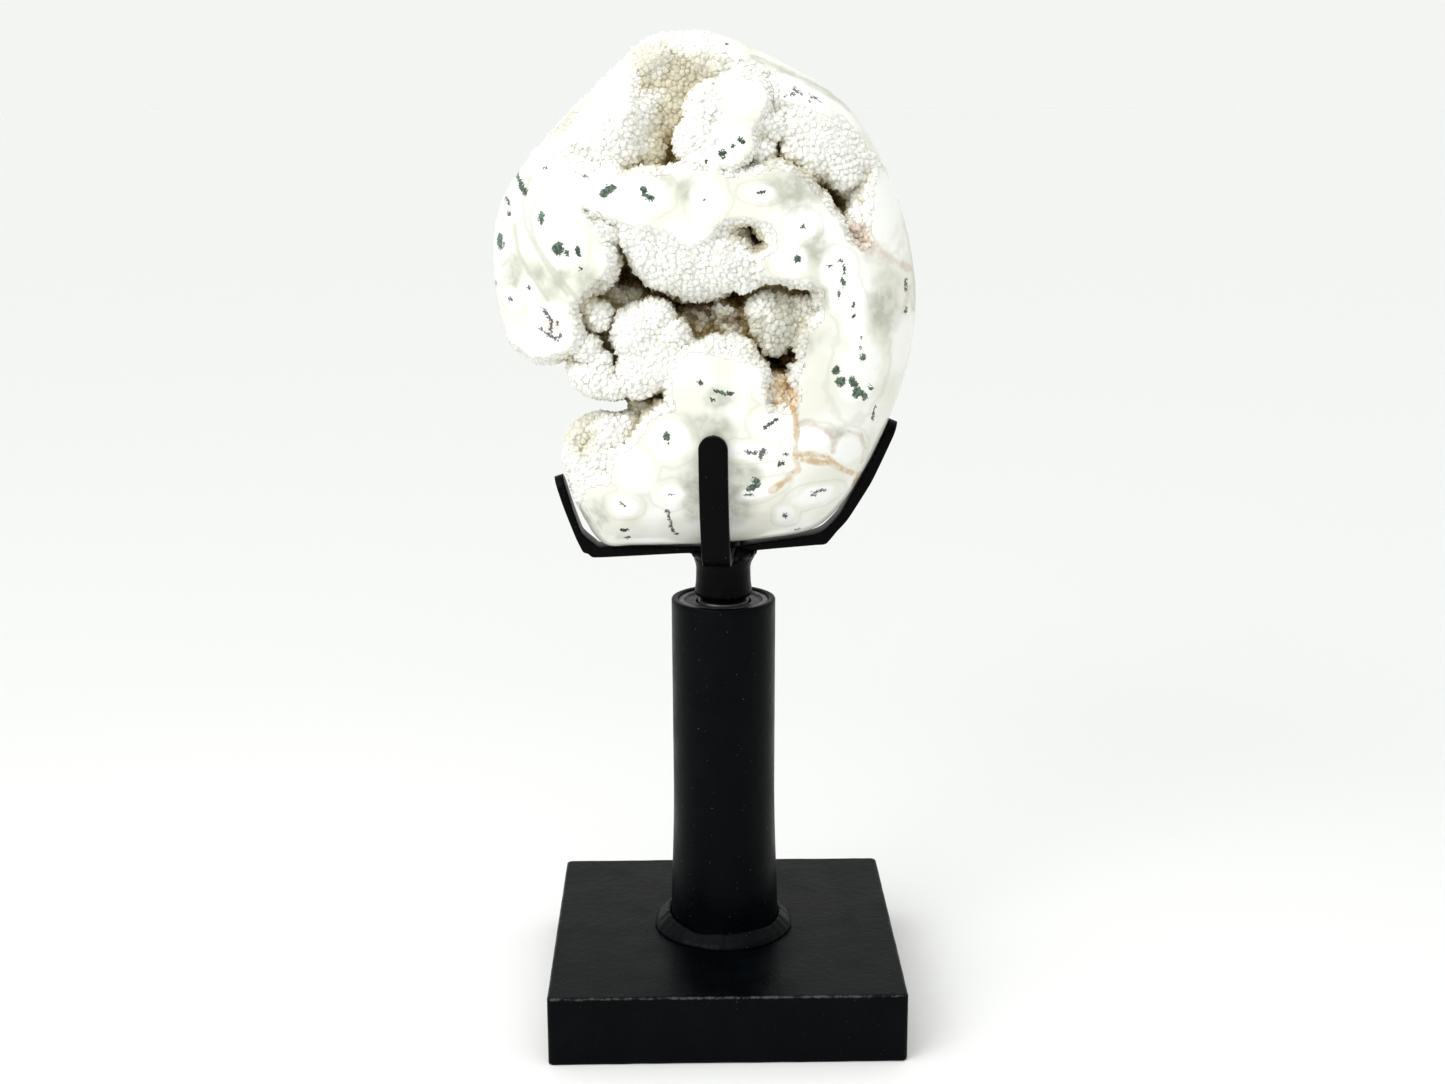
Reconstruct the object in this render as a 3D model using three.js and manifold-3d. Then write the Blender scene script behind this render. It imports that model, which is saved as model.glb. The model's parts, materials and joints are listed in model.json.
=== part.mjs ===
// A polished freeform of white moss agate with druzy hollows, held by four bent flat bars
// on a swivel that turns in a ball bearing at the top of a welded steel stand.
// Millimetres, +Z up. The origin is the centre of the base plate's underside,
// on the axis of the swivel, and the stone's polished face looks along -Y.
import * as THREE from 'three';
import { mergeVertices } from 'three/addons/utils/BufferGeometryUtils.js';
import Module from 'manifold-3d';

const wasm = await Module();
wasm.setup();

// Clearances between separate pieces
const touchGap = 0.3;
const bearingFit = 0.1;

// Base plate
const plateWidth = 100;
const plateThickness = 20;
const plateCorner = 1.2;
const plateBevel = 0.6;

// Column tube, its radius slightly waisted and wider where it meets the weld
const columnTop = 121;
const columnBore = 13;
const columnSections = [
  { z: plateThickness, radius: 15.9 },
  { z: 30, radius: 15.8 },
  { z: 44, radius: 15.2 },
  { z: 60, radius: 14.8 },
  { z: 90, radius: 14.9 },
  { z: columnTop, radius: 15 },
];

// Weld bead round the column's foot
const weldOuterRadius = 20.9;
const weldHeight = 5;
const weldLumpiness = 0.55;

// Ball bearing 26 x 10 x 8, set half a millimetre into the tube
const bearingTop = columnTop - 0.5;
const bearingWidth = 8;
const outerRaceInner = 11.3;
const innerRaceOuter = 7.4;
const shaftRadius = 5;
const shieldThickness = 0.6;
const shieldRecess = 0.35;

// Swivel stem
const collarBottom = 122.1;
const collarRadius = 8.25;
const neckRadius = 7.8;
const barBottom = 134.6;
const barTop = 136.8;
const hubHalfWidth = 4.15;

// Cradle arms, of flat bar with a full round end
const armWidth = 8;
const armStart = hubHalfWidth + touchGap;
const frontArmTurn = THREE.MathUtils.degToRad(6.5);

// Stone: outline at its middle, seen from the front, and its depth to each side
const stoneCentre = new THREE.Vector2(-5, 208);
const stoneFront = 27;
const stoneBack = 26;
const domeFlatness = 4;
const stoneOutline = [
  [-9.5, 279.7], [1, 278], [19.5, 269.6], [33.3, 260.3], [44.1, 244.7], [50.5, 228],
  [53.8, 209.5], [52.6, 192], [47.6, 175], [38, 155.2], [31, 145.6], [25, 141.4],
  [6, 138.3], [-25, 137.2], [-34, 137.6], [-41.3, 148.5], [-46.1, 162.7], [-59.3, 194],
  [-63.3, 217], [-60.7, 234], [-47.7, 252], [-29.3, 270], [-20, 278],
];
const gridCells = 30;
const outlineSamples = 360;

// The gap at the stone's left side goes right through, falling and drifting a little as it does
const notchOutline = [
  [-75, 186], [-59, 193.5], [-53, 188.6], [-48, 188.6], [-44, 190], [-43.6, 186.5], [-42.5, 182.5],
  [-38, 179.4], [-31.2, 178.2], [-27, 179], [-26.6, 176], [-30, 175], [-34.3, 175.8], [-39, 174.6],
  [-42.5, 172], [-45, 168], [-46.5, 161], [-75, 165],
];
const notchFall = -0.16;
const notchDrift = -0.05;

// Where the front is ground to the polish, as outlines seen from the front. Their outer
// sides run past the stone, so that there its own rim ends the polish.
const bandTop = [
  [-49.5, 245], [-39.5, 245.5], [-34, 244], [-29, 243], [-26, 241], [-21, 242.5], [-12, 243],
  [-3.5, 243.5], [3, 242], [8, 243], [14, 244.5], [20.5, 241.5], [25.5, 236.5], [30.5, 230.5],
];
const rightCheekEdge = [
  [31.5, 227], [34, 224], [37.5, 222.5], [40, 225], [39, 230], [39.5, 235.5], [40.5, 240.5], [42.5, 243.5],
];
const pastRightAndFoot = [[60, 246], [70, 200], [50, 125], [-50, 125]];
const footLeftEdge = [
  [-42, 146.5], [-37, 157], [-31.5, 159.5], [-30.5, 165], [-31, 168.5], [-25.5, 172], [-22, 178],
  [-16, 182], [-13.5, 181.5],
];
const middleEdge = [
  [-14.5, 184.5], [-15, 190], [-12, 194.5], [-7.5, 196.5], [-3.5, 195.5], [3, 193.5], [9, 192],
  [11, 189], [10.5, 185.5], [13, 179.5], [17.5, 179],
];
const rightFaceEdge = [[20, 184.5], [17.5, 190], [19, 193.5], [20.5, 196.5], [23.5, 203], [27, 205]];
const bandUnder = [
  [25, 208.5], [26, 211.5], [23, 213], [12.5, 215], [9, 220], [13, 223], [13, 226.5], [7, 230.5],
  [-1.5, 229.5], [-7, 227], [-15.5, 227], [-21, 228.5], [-29.5, 230.5], [-37.5, 234],
];
const leftCheekEdge = [
  [-35.5, 230.5], [-32.5, 226], [-30, 222], [-31.5, 216.5], [-35, 213], [-41, 208.5], [-39, 199.5],
  [-40, 197], [-44.5, 194.5], [-48, 193], [-56, 193.5],
];
const pastLeft = [[-75, 190], [-75, 235], [-60, 250]];
const polishedOutlines = [
  [
    ...bandTop, ...rightCheekEdge, ...pastRightAndFoot, ...footLeftEdge, ...middleEdge,
    ...rightFaceEdge, ...bandUnder, ...leftCheekEdge, ...pastLeft,
  ],
  [
    [-4.5, 277], [-0.5, 274.5], [4.5, 271], [10, 271], [13.5, 268], [14.5, 261.5], [23, 259], [28.5, 256],
    [31.5, 257], [35, 253.5], [38.5, 250], [42, 244.5], [60, 246], [50, 270], [0, 290],
  ],
  [
    [-8, 245.5], [-4.5, 248.5], [2.5, 252.5], [5.5, 253.5], [8, 252.5], [8.5, 250], [5.5, 247],
    [0.5, 243.5], [-3.5, 244],
  ],
];

// Everywhere else the front is druzy: round lobes that the polish doesn't reach. Each is given
// by the place of its centre (x, z), how far that lies in front of the middle, and its radius.
const frontLobes = {
  top: [[-16, 273, 3, 12], [-24, 267, 6, 11], [-7, 271, 4, 11]],
  upperLeft: [[-30, 260, 8, 12], [-38, 254, 8, 12], [-29, 250, 11, 9.5], [-44, 248, 7, 11], [-21, 247, 3, 8]],
  upperMiddle: [[-2, 261, 9, 11], [-2, 249, 13, 10], [6, 260, 11, 11]],
  upperRight: [[25, 254, 9, 11], [33, 253, 5, 10.5], [36, 256, 0, 10]],
  rightCheek: [[40, 235, 9, 8.5], [42, 227, 10, 8], [35, 226, 8, 6]],
  hanging: [[-8, 217, 15, 11.5], [-17, 221, 15, 9.5], [1, 218, 15, 8.5], [8, 219, 13, 6]],
  leftCheek: [[-36, 217, 14, 8.5], [-48, 203, 12, 10], [-53, 199, 6, 9]],
  notchKnobs: [[-37, 186, 8, 6.5], [-38, 194, 8, 5.5], [-31, 184, 5, 6]],
  lowerRidge: [
    [-23, 195, 13, 9], [-16, 199, 12, 7.5], [-16, 191, 16, 10], [-24, 188, 12, 8],
    [0, 193, 12, 7], [5, 188, 13, 7], [-7, 192, 15, 9],
  ],
  deepKnobs: [
    [13, 205, 5, 8.5], [20, 201, 7, 7.5], [11, 198, 2, 7], [-8, 197, 1, 8], [3, 202, 1, 8],
    [-37, 201, 4, 6], [15, 182, 13, 6],
  ],
  footLeft: [[-36, 169, 12, 8], [-39, 160, 8, 8], [-28, 170, 14, 7], [-35, 154, 12, 9]],
};
const frontFloor = -3;

// The back is polished all over but for a few rounds, given as x, z and radius
const backHollows = [[-34, 206, 17], [-20, 200, 15], [-38, 190, 14]];
const backLobes = [
  [-40, 197, 12, 8], [-31, 205, 13, 9], [-42, 210, 11, 9], [-24, 193, 13, 9], [-33, 187, 10, 8],
  [-17, 205, 12, 9], [-22, 216, 11, 9], [-35, 220, 10, 9], [-12, 190, 12, 8],
];
const backFloor = 12;

// The crust of crystals, measured straight in, and the stone left between two hollows
const crustDepth = 3;
const grainHeight = 0.7;
const druzyBelowPolish = 1;
const leastBacking = 7;
const polishMargin = 0.5;

const finishes = {
  paint: { color: 0x1a1b1c, roughness: 0.45, metalness: 0.1 },
  bearingSteel: { color: 0x57585a, roughness: 0.35, metalness: 0.9 },
  agate: { color: 0xf3f2ec, roughness: 0.12, metalness: 0 },
  druzy: { color: 0xe2dfd0, roughness: 0.35, metalness: 0 },
};

// A closed geometry as a solid that can be joined and cut
function solidOf(geometry) {
  const bare = geometry.clone();
  bare.deleteAttribute('normal');
  bare.deleteAttribute('uv');
  const merged = mergeVertices(bare, 1e-4);
  return new wasm.Manifold(new wasm.Mesh({
    numProp: 3,
    vertProperties: new Float32Array(merged.attributes.position.array),
    triVerts: new Uint32Array(merged.index.array),
  }));
}

function geometryOf(solid) {
  const { numProp, vertProperties, triVerts } = solid.getMesh();
  const positions = [];
  for (const vertex of triVerts) {
    const first = vertex * numProp;
    positions.push(vertProperties[first], vertProperties[first + 1], vertProperties[first + 2]);
  }
  const geometry = new THREE.BufferGeometry();
  geometry.setAttribute('position', new THREE.Float32BufferAttribute(positions, 3));
  geometry.computeVertexNormals();
  return geometry;
}

function piece(name, geometry, finish) {
  const mesh = new THREE.Mesh(geometry, new THREE.MeshStandardMaterial(finish));
  mesh.name = name;
  return mesh;
}

// A body of revolution about the swivel axis, from [radius, z] corners
function turned(corners, segments = 28) {
  const profile = corners.map(([radius, z]) => new THREE.Vector2(radius, z));
  const geometry = new THREE.LatheGeometry(profile, segments);
  geometry.rotateX(Math.PI / 2);
  return geometry;
}

// A ring of revolution: its profile closes on itself
function turnedRing(corners, segments) {
  return turned([...corners, corners[0]], segments);
}

function basePlate() {
  const half = plateWidth / 2 - plateBevel;
  const square = new THREE.Shape();
  square.moveTo(-half + plateCorner, -half);
  square.lineTo(half - plateCorner, -half);
  square.quadraticCurveTo(half, -half, half, -half + plateCorner);
  square.lineTo(half, half - plateCorner);
  square.quadraticCurveTo(half, half, half - plateCorner, half);
  square.lineTo(-half + plateCorner, half);
  square.quadraticCurveTo(-half, half, -half, half - plateCorner);
  square.lineTo(-half, -half + plateCorner);
  square.quadraticCurveTo(-half, -half, -half + plateCorner, -half);
  const plate = new THREE.ExtrudeGeometry(square, {
    depth: plateThickness - 2 * plateBevel,
    bevelSize: plateBevel,
    bevelThickness: plateBevel,
    bevelSegments: 1,
    curveSegments: 2,
  });
  plate.translate(0, 0, plateBevel);
  return plate;
}

function columnTube() {
  const outside = columnSections.map(({ z, radius }) => [radius, z]);
  return turnedRing([...outside, [columnBore, columnTop], [columnBore, plateThickness]]);
}

// The bead's own height and width change round the column, as hand welding leaves them
function footWeld() {
  const inner = columnSections[0].radius + touchGap;
  const geometry = turnedRing([
    [inner, plateThickness],
    [weldOuterRadius, plateThickness],
    [weldOuterRadius - 0.5, plateThickness + 1.2],
    [weldOuterRadius - 2, plateThickness + 2.6],
    [inner + 1, plateThickness + weldHeight],
    [inner, plateThickness + weldHeight],
  ]);
  const place = geometry.attributes.position;
  for (let i = 0; i < place.count; i += 1) {
    const x = place.getX(i);
    const y = place.getY(i);
    const angle = Math.atan2(y, x);
    const reach = (Math.hypot(x, y) - inner) / (weldOuterRadius - inner);
    const rise = (place.getZ(i) - plateThickness) / weldHeight;
    const lump = weldLumpiness * (Math.sin(3 * angle + 1) + 0.7 * Math.sin(11 * angle) + 0.5 * Math.sin(19 * angle + 2));
    const stretch = 1 + (lump * reach) / Math.hypot(x, y);
    place.setXYZ(i, x * stretch, y * stretch, place.getZ(i) + 0.8 * lump * rise);
  }
  return geometry;
}

function bearingOuterRing() {
  const outer = columnBore - bearingFit;
  const bottom = bearingTop - bearingWidth;
  return turnedRing([
    [outer, bottom], [outer, bearingTop], [outerRaceInner, bearingTop], [outerRaceInner, bottom],
  ]);
}

function bearingInnerRing() {
  const inner = shaftRadius + bearingFit;
  const bottom = bearingTop - bearingWidth;
  return turnedRing([
    [innerRaceOuter, bottom], [innerRaceOuter, bearingTop], [inner, bearingTop], [inner, bottom],
  ]);
}

function bearingShield() {
  const outer = outerRaceInner - bearingFit;
  const inner = innerRaceOuter + 0.6;
  const top = bearingTop - shieldRecess;
  return turnedRing([
    [outer, top - shieldThickness], [outer, top], [inner, top], [inner, top - shieldThickness],
  ]);
}

// Shaft, shoulder, collar and flared neck in one turning, with the square hub that the arms meet
function swivelStem() {
  const shoulder = innerRaceOuter - 0.6;
  const turning = solidOf(turned([
    [0, bearingTop - bearingWidth],
    [shaftRadius, bearingTop - bearingWidth],
    [shaftRadius, bearingTop + bearingFit],
    [shoulder, bearingTop + bearingFit],
    [shoulder, collarBottom],
    [collarRadius, collarBottom + 0.3],
    [collarRadius, collarBottom + 1.2],
    [neckRadius + 0.1, 126],
    [neckRadius, 130.4],
    [neckRadius + 0.5, 132.4],
    [neckRadius + 1.4, 133.6],
    [neckRadius + 2.6, barBottom - touchGap],
    [0, barBottom - touchGap],
  ]));
  const hubHeight = barTop - barBottom + 2 * touchGap;
  const hub = new THREE.BoxGeometry(2 * hubHalfWidth, 2 * hubHalfWidth, hubHeight);
  hub.translate(0, 0, barTop - hubHeight / 2);
  return geometryOf(turning.add(solidOf(hub)));
}

// A flat bar bent in its own plane: the side outline is [distance from the axis, z] corners.
// It points along +X, and its end is rounded to a half circle as seen from outside.
function bentBar(sideCorners, endHeight) {
  const side = new THREE.Shape(sideCorners.map(([reach, z]) => new THREE.Vector2(reach, z)));
  const bar = new THREE.ExtrudeGeometry(side, { depth: armWidth, bevelEnabled: false });
  bar.rotateX(Math.PI / 2);
  bar.translate(0, armWidth / 2, 0);
  const half = armWidth / 2;
  const face = new THREE.Shape();
  face.moveTo(-half - 1, barBottom - 10);
  face.lineTo(half + 1, barBottom - 10);
  face.lineTo(half + 1, endHeight - half);
  face.lineTo(half, endHeight - half);
  face.absarc(0, endHeight - half, half, 0, Math.PI, false);
  face.lineTo(-half - 1, endHeight - half);
  const reach = 80;
  const roundEnd = new THREE.ExtrudeGeometry(face, { depth: reach, bevelEnabled: false, curveSegments: 12 });
  roundEnd.rotateX(Math.PI / 2);
  roundEnd.rotateZ(Math.PI / 2);
  return geometryOf(solidOf(bar).intersect(solidOf(roundEnd)));
}

function leftArm() {
  const arm = bentBar([
    [armStart, 134.9], [11.7, 134.9], [33, 133.9], [37.5, 133.9], [38.5, 135], [40.1, 135.2],
    [42, 139.6], [44.2, 145.4], [45.6, 149.4], [47.9, 156.8],
    [45.5, 157.7], [43.3, 149.7], [41.8, 145], [40.4, 141.4], [39, 139.8], [37.2, 138.5],
    [35.5, 136.8], [armStart, barTop],
  ], 157.6);
  arm.rotateZ(Math.PI);
  return arm;
}

function rightArm() {
  return bentBar([
    [armStart, 135.2], [16.8, 136.2], [26.1, 137], [29.3, 137.4], [35.6, 144.7], [41.8, 154.8],
    [48.2, 168.8], [49.4, 172],
    [47, 173.3], [45, 168.5], [41.3, 160.6], [36.2, 150.1], [31.7, 144.2], [29.2, 141.5],
    [26.1, 140.2], [13.3, 138.2], [armStart, 137],
  ], 173);
}

// The front bar, and its unseen match behind the stone
function faceArm(turn) {
  const arm = bentBar([
    [armStart + 0.8, barBottom], [17.2, 134.2], [20.6, 135.6], [22.8, 140], [25.9, 150], [27.9, 161],
    [29, 173.4],
    [26.8, 173.4], [25.7, 161], [23.6, 150], [20.6, 140.8], [18.4, 137.6], [16.6, barTop],
    [armStart + 0.8, barTop],
  ], 173.2);
  arm.rotateZ(turn);
  return arm;
}

// The outline's distance from the stone's centre in every direction
function outlineReach() {
  const corners = stoneOutline.map(([x, z]) => new THREE.Vector3(x, z, 0));
  const curve = new THREE.CatmullRomCurve3(corners, true, 'centripetal');
  const samples = curve.getSpacedPoints(outlineSamples).map((point) => {
    const dx = point.x - stoneCentre.x;
    const dz = point.y - stoneCentre.y;
    return { angle: Math.atan2(dz, dx), reach: Math.hypot(dx, dz) };
  });
  samples.sort((a, b) => a.angle - b.angle);
  return (angle) => {
    const after = samples.findIndex((sample) => sample.angle >= angle);
    const high = samples[Math.max(after, 0)];
    const low = samples[after > 0 ? after - 1 : samples.length - 1];
    const span = THREE.MathUtils.euclideanModulo(high.angle - low.angle, 2 * Math.PI) || 1;
    const part = THREE.MathUtils.euclideanModulo(angle - low.angle, 2 * Math.PI) / span;
    return THREE.MathUtils.lerp(low.reach, high.reach, part);
  };
}

// A repeatable scatter between -1 and 1
function scatter(seed, step) {
  const wave = Math.sin(seed * 12.9898 + step * 78.233) * 43758.5453;
  return 2 * (wave - Math.floor(wave)) - 1;
}

// How far the nearest lobe's surface lies from the middle plane at one place, or the floor
function lobeHeight({ lobes, floor }, x, z) {
  let height = floor;
  for (const [lobeX, lobeZ, forward, radius] of lobes) {
    const away = Math.hypot(x - lobeX, z - lobeZ);
    if (away < radius) {
      height = Math.max(height, forward + Math.sqrt(radius ** 2 - away ** 2));
    }
  }
  return height;
}

function inRound([roundX, roundZ, radius], x, z) {
  return Math.hypot(x - roundX, z - roundZ) < radius;
}

// Whether a place lies inside an outline: a ray from it crosses the outline an odd number of times
function inOutline(outline, x, z) {
  let inside = false;
  outline.forEach(([x1, z1], i) => {
    const [x2, z2] = outline[(i + 1) % outline.length];
    const crosses = z1 > z !== z2 > z && x < x1 + ((z - z1) * (x2 - x1)) / (z2 - z1);
    inside = crosses ? !inside : inside;
  });
  return inside;
}

// One face of the stone as a height over its middle plane. Where it is druzy it is drawn in
// by the inset, and where it is polished it is moved out by the lift.
function faceHeight(face, x, z, ring, { inset, lift }) {
  const bulge = Math.sqrt(1 - ring ** domeFlatness);
  const polish = face.depth * bulge;
  const backing = leastBacking - face.otherDepth * bulge;
  const druzy = ring < 1 && !face.isPolished(x, z) && backing < polish - crustDepth;
  const grown = Math.max(lobeHeight(face, x, z), backing);
  const crystals = Math.min(grown, polish - druzyBelowPolish);
  return { height: druzy ? crystals - inset : polish + lift * bulge, druzy };
}

const faces = {
  front: {
    side: -1,
    depth: stoneFront,
    otherDepth: stoneBack,
    floor: frontFloor,
    lobes: Object.values(frontLobes).flat(),
    isPolished: (x, z) => polishedOutlines.some((outline) => inOutline(outline, x, z)),
  },
  back: {
    side: 1,
    depth: stoneBack,
    otherDepth: stoneFront,
    floor: backFloor,
    lobes: backLobes,
    isPolished: (x, z) => !backHollows.some((round) => inRound(round, x, z)),
  },
};

// A square grid of points spread over the round outline, at the height of one face
function facePoints(face, reachAt, change) {
  const points = [];
  for (let row = 0; row <= gridCells; row += 1) {
    for (let column = 0; column <= gridCells; column += 1) {
      const u = (2 * column) / gridCells - 1;
      const v = (2 * row) / gridCells - 1;
      const across = u * Math.sqrt(1 - v ** 2 / 2);
      const up = v * Math.sqrt(1 - u ** 2 / 2);
      const onRim = row % gridCells === 0 || column % gridCells === 0;
      const ring = onRim ? 1 : Math.hypot(across, up);
      const angle = Math.atan2(up, across);
      const direction = new THREE.Vector2(Math.cos(angle), Math.sin(angle));
      const place = stoneCentre.clone().addScaledVector(direction, ring * reachAt(angle));
      const { height, druzy } = faceHeight(face, place.x, place.y, ring, change);
      const grain = druzy ? grainHeight : 0;
      points.push(
        place.x + grain * scatter(row, column),
        face.side * (height + grain * scatter(column, row + 1)),
        place.y + grain * scatter(row + 2, column),
      );
    }
  }
  return points;
}

// The whole stone, its druzy and its polish moved as the change says
function stoneForm(change) {
  const reachAt = outlineReach();
  const positions = [
    ...facePoints(faces.front, reachAt, change),
    ...facePoints(faces.back, reachAt, change),
  ];
  const perRow = gridCells + 1;
  const index = [];
  for (let row = 0; row < gridCells; row += 1) {
    for (let column = 0; column < gridCells; column += 1) {
      const a = row * perRow + column;
      const [b, c, d] = [a + 1, a + perRow + 1, a + perRow];
      const slants = (row + column) % 2 === 0;
      const front = slants ? [a, b, c, a, c, d] : [a, b, d, b, c, d];
      const back = front.map((corner) => corner + perRow ** 2).reverse();
      index.push(...front, ...back);
    }
  }
  const geometry = new THREE.BufferGeometry();
  geometry.setAttribute('position', new THREE.Float32BufferAttribute(positions, 3));
  geometry.setIndex(index);
  return solidOf(geometry);
}

// The outline with every side moved outwards by the same distance
function grownOutline(outline, growth) {
  const corners = outline.map(([x, z]) => new THREE.Vector2(x, z));
  const outward = (from, to) => new THREE.Vector2(from.y - to.y, to.x - from.x).normalize();
  return corners.map((corner, i) => {
    const before = outward(corners[(i + corners.length - 1) % corners.length], corner);
    const after = outward(corner, corners[(i + 1) % corners.length]);
    const mitre = before.clone().add(after);
    return corner.clone().addScaledVector(mitre, growth / (1 + before.dot(after)));
  });
}

// The notch as a slanting prism, larger by the given growth
function notchPrism(growth) {
  const grown = grownOutline(notchOutline, growth);
  const depth = 4 * stoneFront;
  const prism = new THREE.ExtrudeGeometry(new THREE.Shape(grown), { depth, bevelEnabled: false });
  prism.rotateX(Math.PI / 2);
  prism.translate(0, depth / 2, 0);
  const slant = new THREE.Matrix4().makeShear(0, 0, notchDrift, notchFall, 0, 0);
  prism.applyMatrix4(slant);
  return solidOf(prism);
}

// The separate bodies of a solid, the largest first
function bodiesBySize(solid) {
  return solid.decompose().sort((a, b) => b.volume() - a.volume());
}

function notchedStone(change) {
  return stoneForm(change).subtract(notchPrism(change.inset));
}

// The stone up to its crystals' tips, less the stone under them, is the crust
function buildPart() {
  const outside = notchedStone({ inset: 0, lift: 0 });
  const lining = notchedStone({ inset: crustDepth, lift: polishMargin });
  const [agate] = bodiesBySize(notchedStone({ inset: crustDepth + 2 * touchGap, lift: 0 }));
  const [lowerCrust, upperCrust] = bodiesBySize(outside.subtract(lining));
  const group = new THREE.Group();
  group.add(
    piece('base_plate', basePlate(), finishes.paint),
    piece('column_tube', columnTube(), finishes.paint),
    piece('foot_weld', footWeld(), finishes.paint),
    piece('bearing_outer_ring', bearingOuterRing(), finishes.bearingSteel),
    piece('bearing_shield', bearingShield(), finishes.bearingSteel),
    piece('bearing_inner_ring', bearingInnerRing(), finishes.bearingSteel),
    piece('swivel_stem', swivelStem(), finishes.paint),
    piece('left_arm', leftArm(), finishes.paint),
    piece('right_arm', rightArm(), finishes.paint),
    piece('front_arm', faceArm(-Math.PI / 2 - frontArmTurn), finishes.paint),
    piece('rear_arm', faceArm(Math.PI / 2 - frontArmTurn), finishes.paint),
    piece('agate', geometryOf(agate), finishes.agate),
    piece('druzy_crust_lower', geometryOf(lowerCrust), finishes.druzy),
    piece('druzy_crust_upper', geometryOf(upperCrust), finishes.druzy),
  );
  return group;
}

export default buildPart();
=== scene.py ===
"""A polished freeform of white moss agate with druzy hollows, in a swivelling cradle on a steel stand.

Forms are worked out in millimetres in the frame's own axes: +Z up, the origin at the centre of the base
plate's underside, and the stone's druzy front towards -Y. They become metres when a mesh is made.
"""

import itertools
import json
import logging
import math
from dataclasses import dataclass, field
from enum import Enum
from typing import ClassVar, Iterable, Sequence

import bpy
import numpy as np
from mathutils import Matrix, Vector

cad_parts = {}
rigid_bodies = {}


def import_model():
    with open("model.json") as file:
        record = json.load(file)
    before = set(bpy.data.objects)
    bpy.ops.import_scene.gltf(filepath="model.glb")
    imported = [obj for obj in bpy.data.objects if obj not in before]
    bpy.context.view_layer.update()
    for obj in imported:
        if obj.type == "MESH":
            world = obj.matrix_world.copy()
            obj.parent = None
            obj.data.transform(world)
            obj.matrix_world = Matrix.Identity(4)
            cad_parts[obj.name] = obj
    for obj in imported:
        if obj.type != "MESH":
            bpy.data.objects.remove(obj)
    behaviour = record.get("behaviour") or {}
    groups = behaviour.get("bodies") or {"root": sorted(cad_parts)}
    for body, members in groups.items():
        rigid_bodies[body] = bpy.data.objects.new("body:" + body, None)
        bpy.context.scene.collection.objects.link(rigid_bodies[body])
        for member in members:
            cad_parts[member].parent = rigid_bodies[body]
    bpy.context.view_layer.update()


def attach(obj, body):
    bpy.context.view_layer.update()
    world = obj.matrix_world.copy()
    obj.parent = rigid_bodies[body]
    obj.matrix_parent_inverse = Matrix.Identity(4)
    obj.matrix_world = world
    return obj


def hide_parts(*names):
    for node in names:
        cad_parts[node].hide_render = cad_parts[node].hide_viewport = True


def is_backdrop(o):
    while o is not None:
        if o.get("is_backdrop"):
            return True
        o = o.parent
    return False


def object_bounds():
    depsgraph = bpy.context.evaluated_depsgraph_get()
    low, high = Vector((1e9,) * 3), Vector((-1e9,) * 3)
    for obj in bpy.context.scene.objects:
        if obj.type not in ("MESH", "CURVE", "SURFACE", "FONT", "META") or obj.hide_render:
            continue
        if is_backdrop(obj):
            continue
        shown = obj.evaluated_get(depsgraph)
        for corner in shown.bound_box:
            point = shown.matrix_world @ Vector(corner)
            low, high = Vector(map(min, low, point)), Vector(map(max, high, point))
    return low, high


LOG = logging.getLogger("mounted_agate")
METRES = 0.001

Point2 = tuple[float, float]
Colour = tuple[float, float, float]
Shape = tuple[np.ndarray, np.ndarray]


class Body(Enum):
    """The two rigid bodies that pieces ride on."""

    STAND = "stand"
    CRADLE = "cradle"


class Slot(Enum):
    """The record's material slots."""

    STAND_PAINT = "stand_paint"
    CRADLE_PAINT = "cradle_paint"
    BEARING_STEEL = "bearing_steel"
    BEARING_SHIELD = "bearing_shield"
    POLISHED_AGATE = "polished_agate"
    DRUZY_QUARTZ = "druzy_quartz"


# Outlines and places on the stone, in millimetres as (x, z) seen from the front

STONE_CENTRE = np.array([-5.0, 208.0])
STONE_OUTLINE: list[Point2] = [
    (-9.5, 279.7), (1, 278), (19.5, 269.6), (33.3, 260.3), (44.1, 244.7), (50.5, 228),
    (53.8, 209.5), (52.6, 192), (47.6, 175), (38, 155.2), (31, 145.6), (25, 141.4),
    (6, 138.3), (-25, 137.2), (-34, 137.6), (-41.3, 148.5), (-46.1, 162.7), (-59.3, 194),
    (-63.3, 217), (-60.7, 234), (-47.7, 252), (-29.3, 270), (-20, 278),
]
NOTCH_OUTLINE: list[Point2] = [
    (-75, 186), (-59, 193.5), (-53, 188.6), (-48, 188.6), (-44, 190), (-43.6, 186.5), (-42.5, 182.5),
    (-38, 179.4), (-31.2, 178.2), (-27, 179), (-26.6, 176), (-30, 175), (-34.3, 175.8), (-39, 174.6),
    (-42.5, 172), (-45, 168), (-46.5, 161), (-75, 165),
]
NOTCH_FALL = -0.16
NOTCH_DRIFT = -0.05

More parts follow.
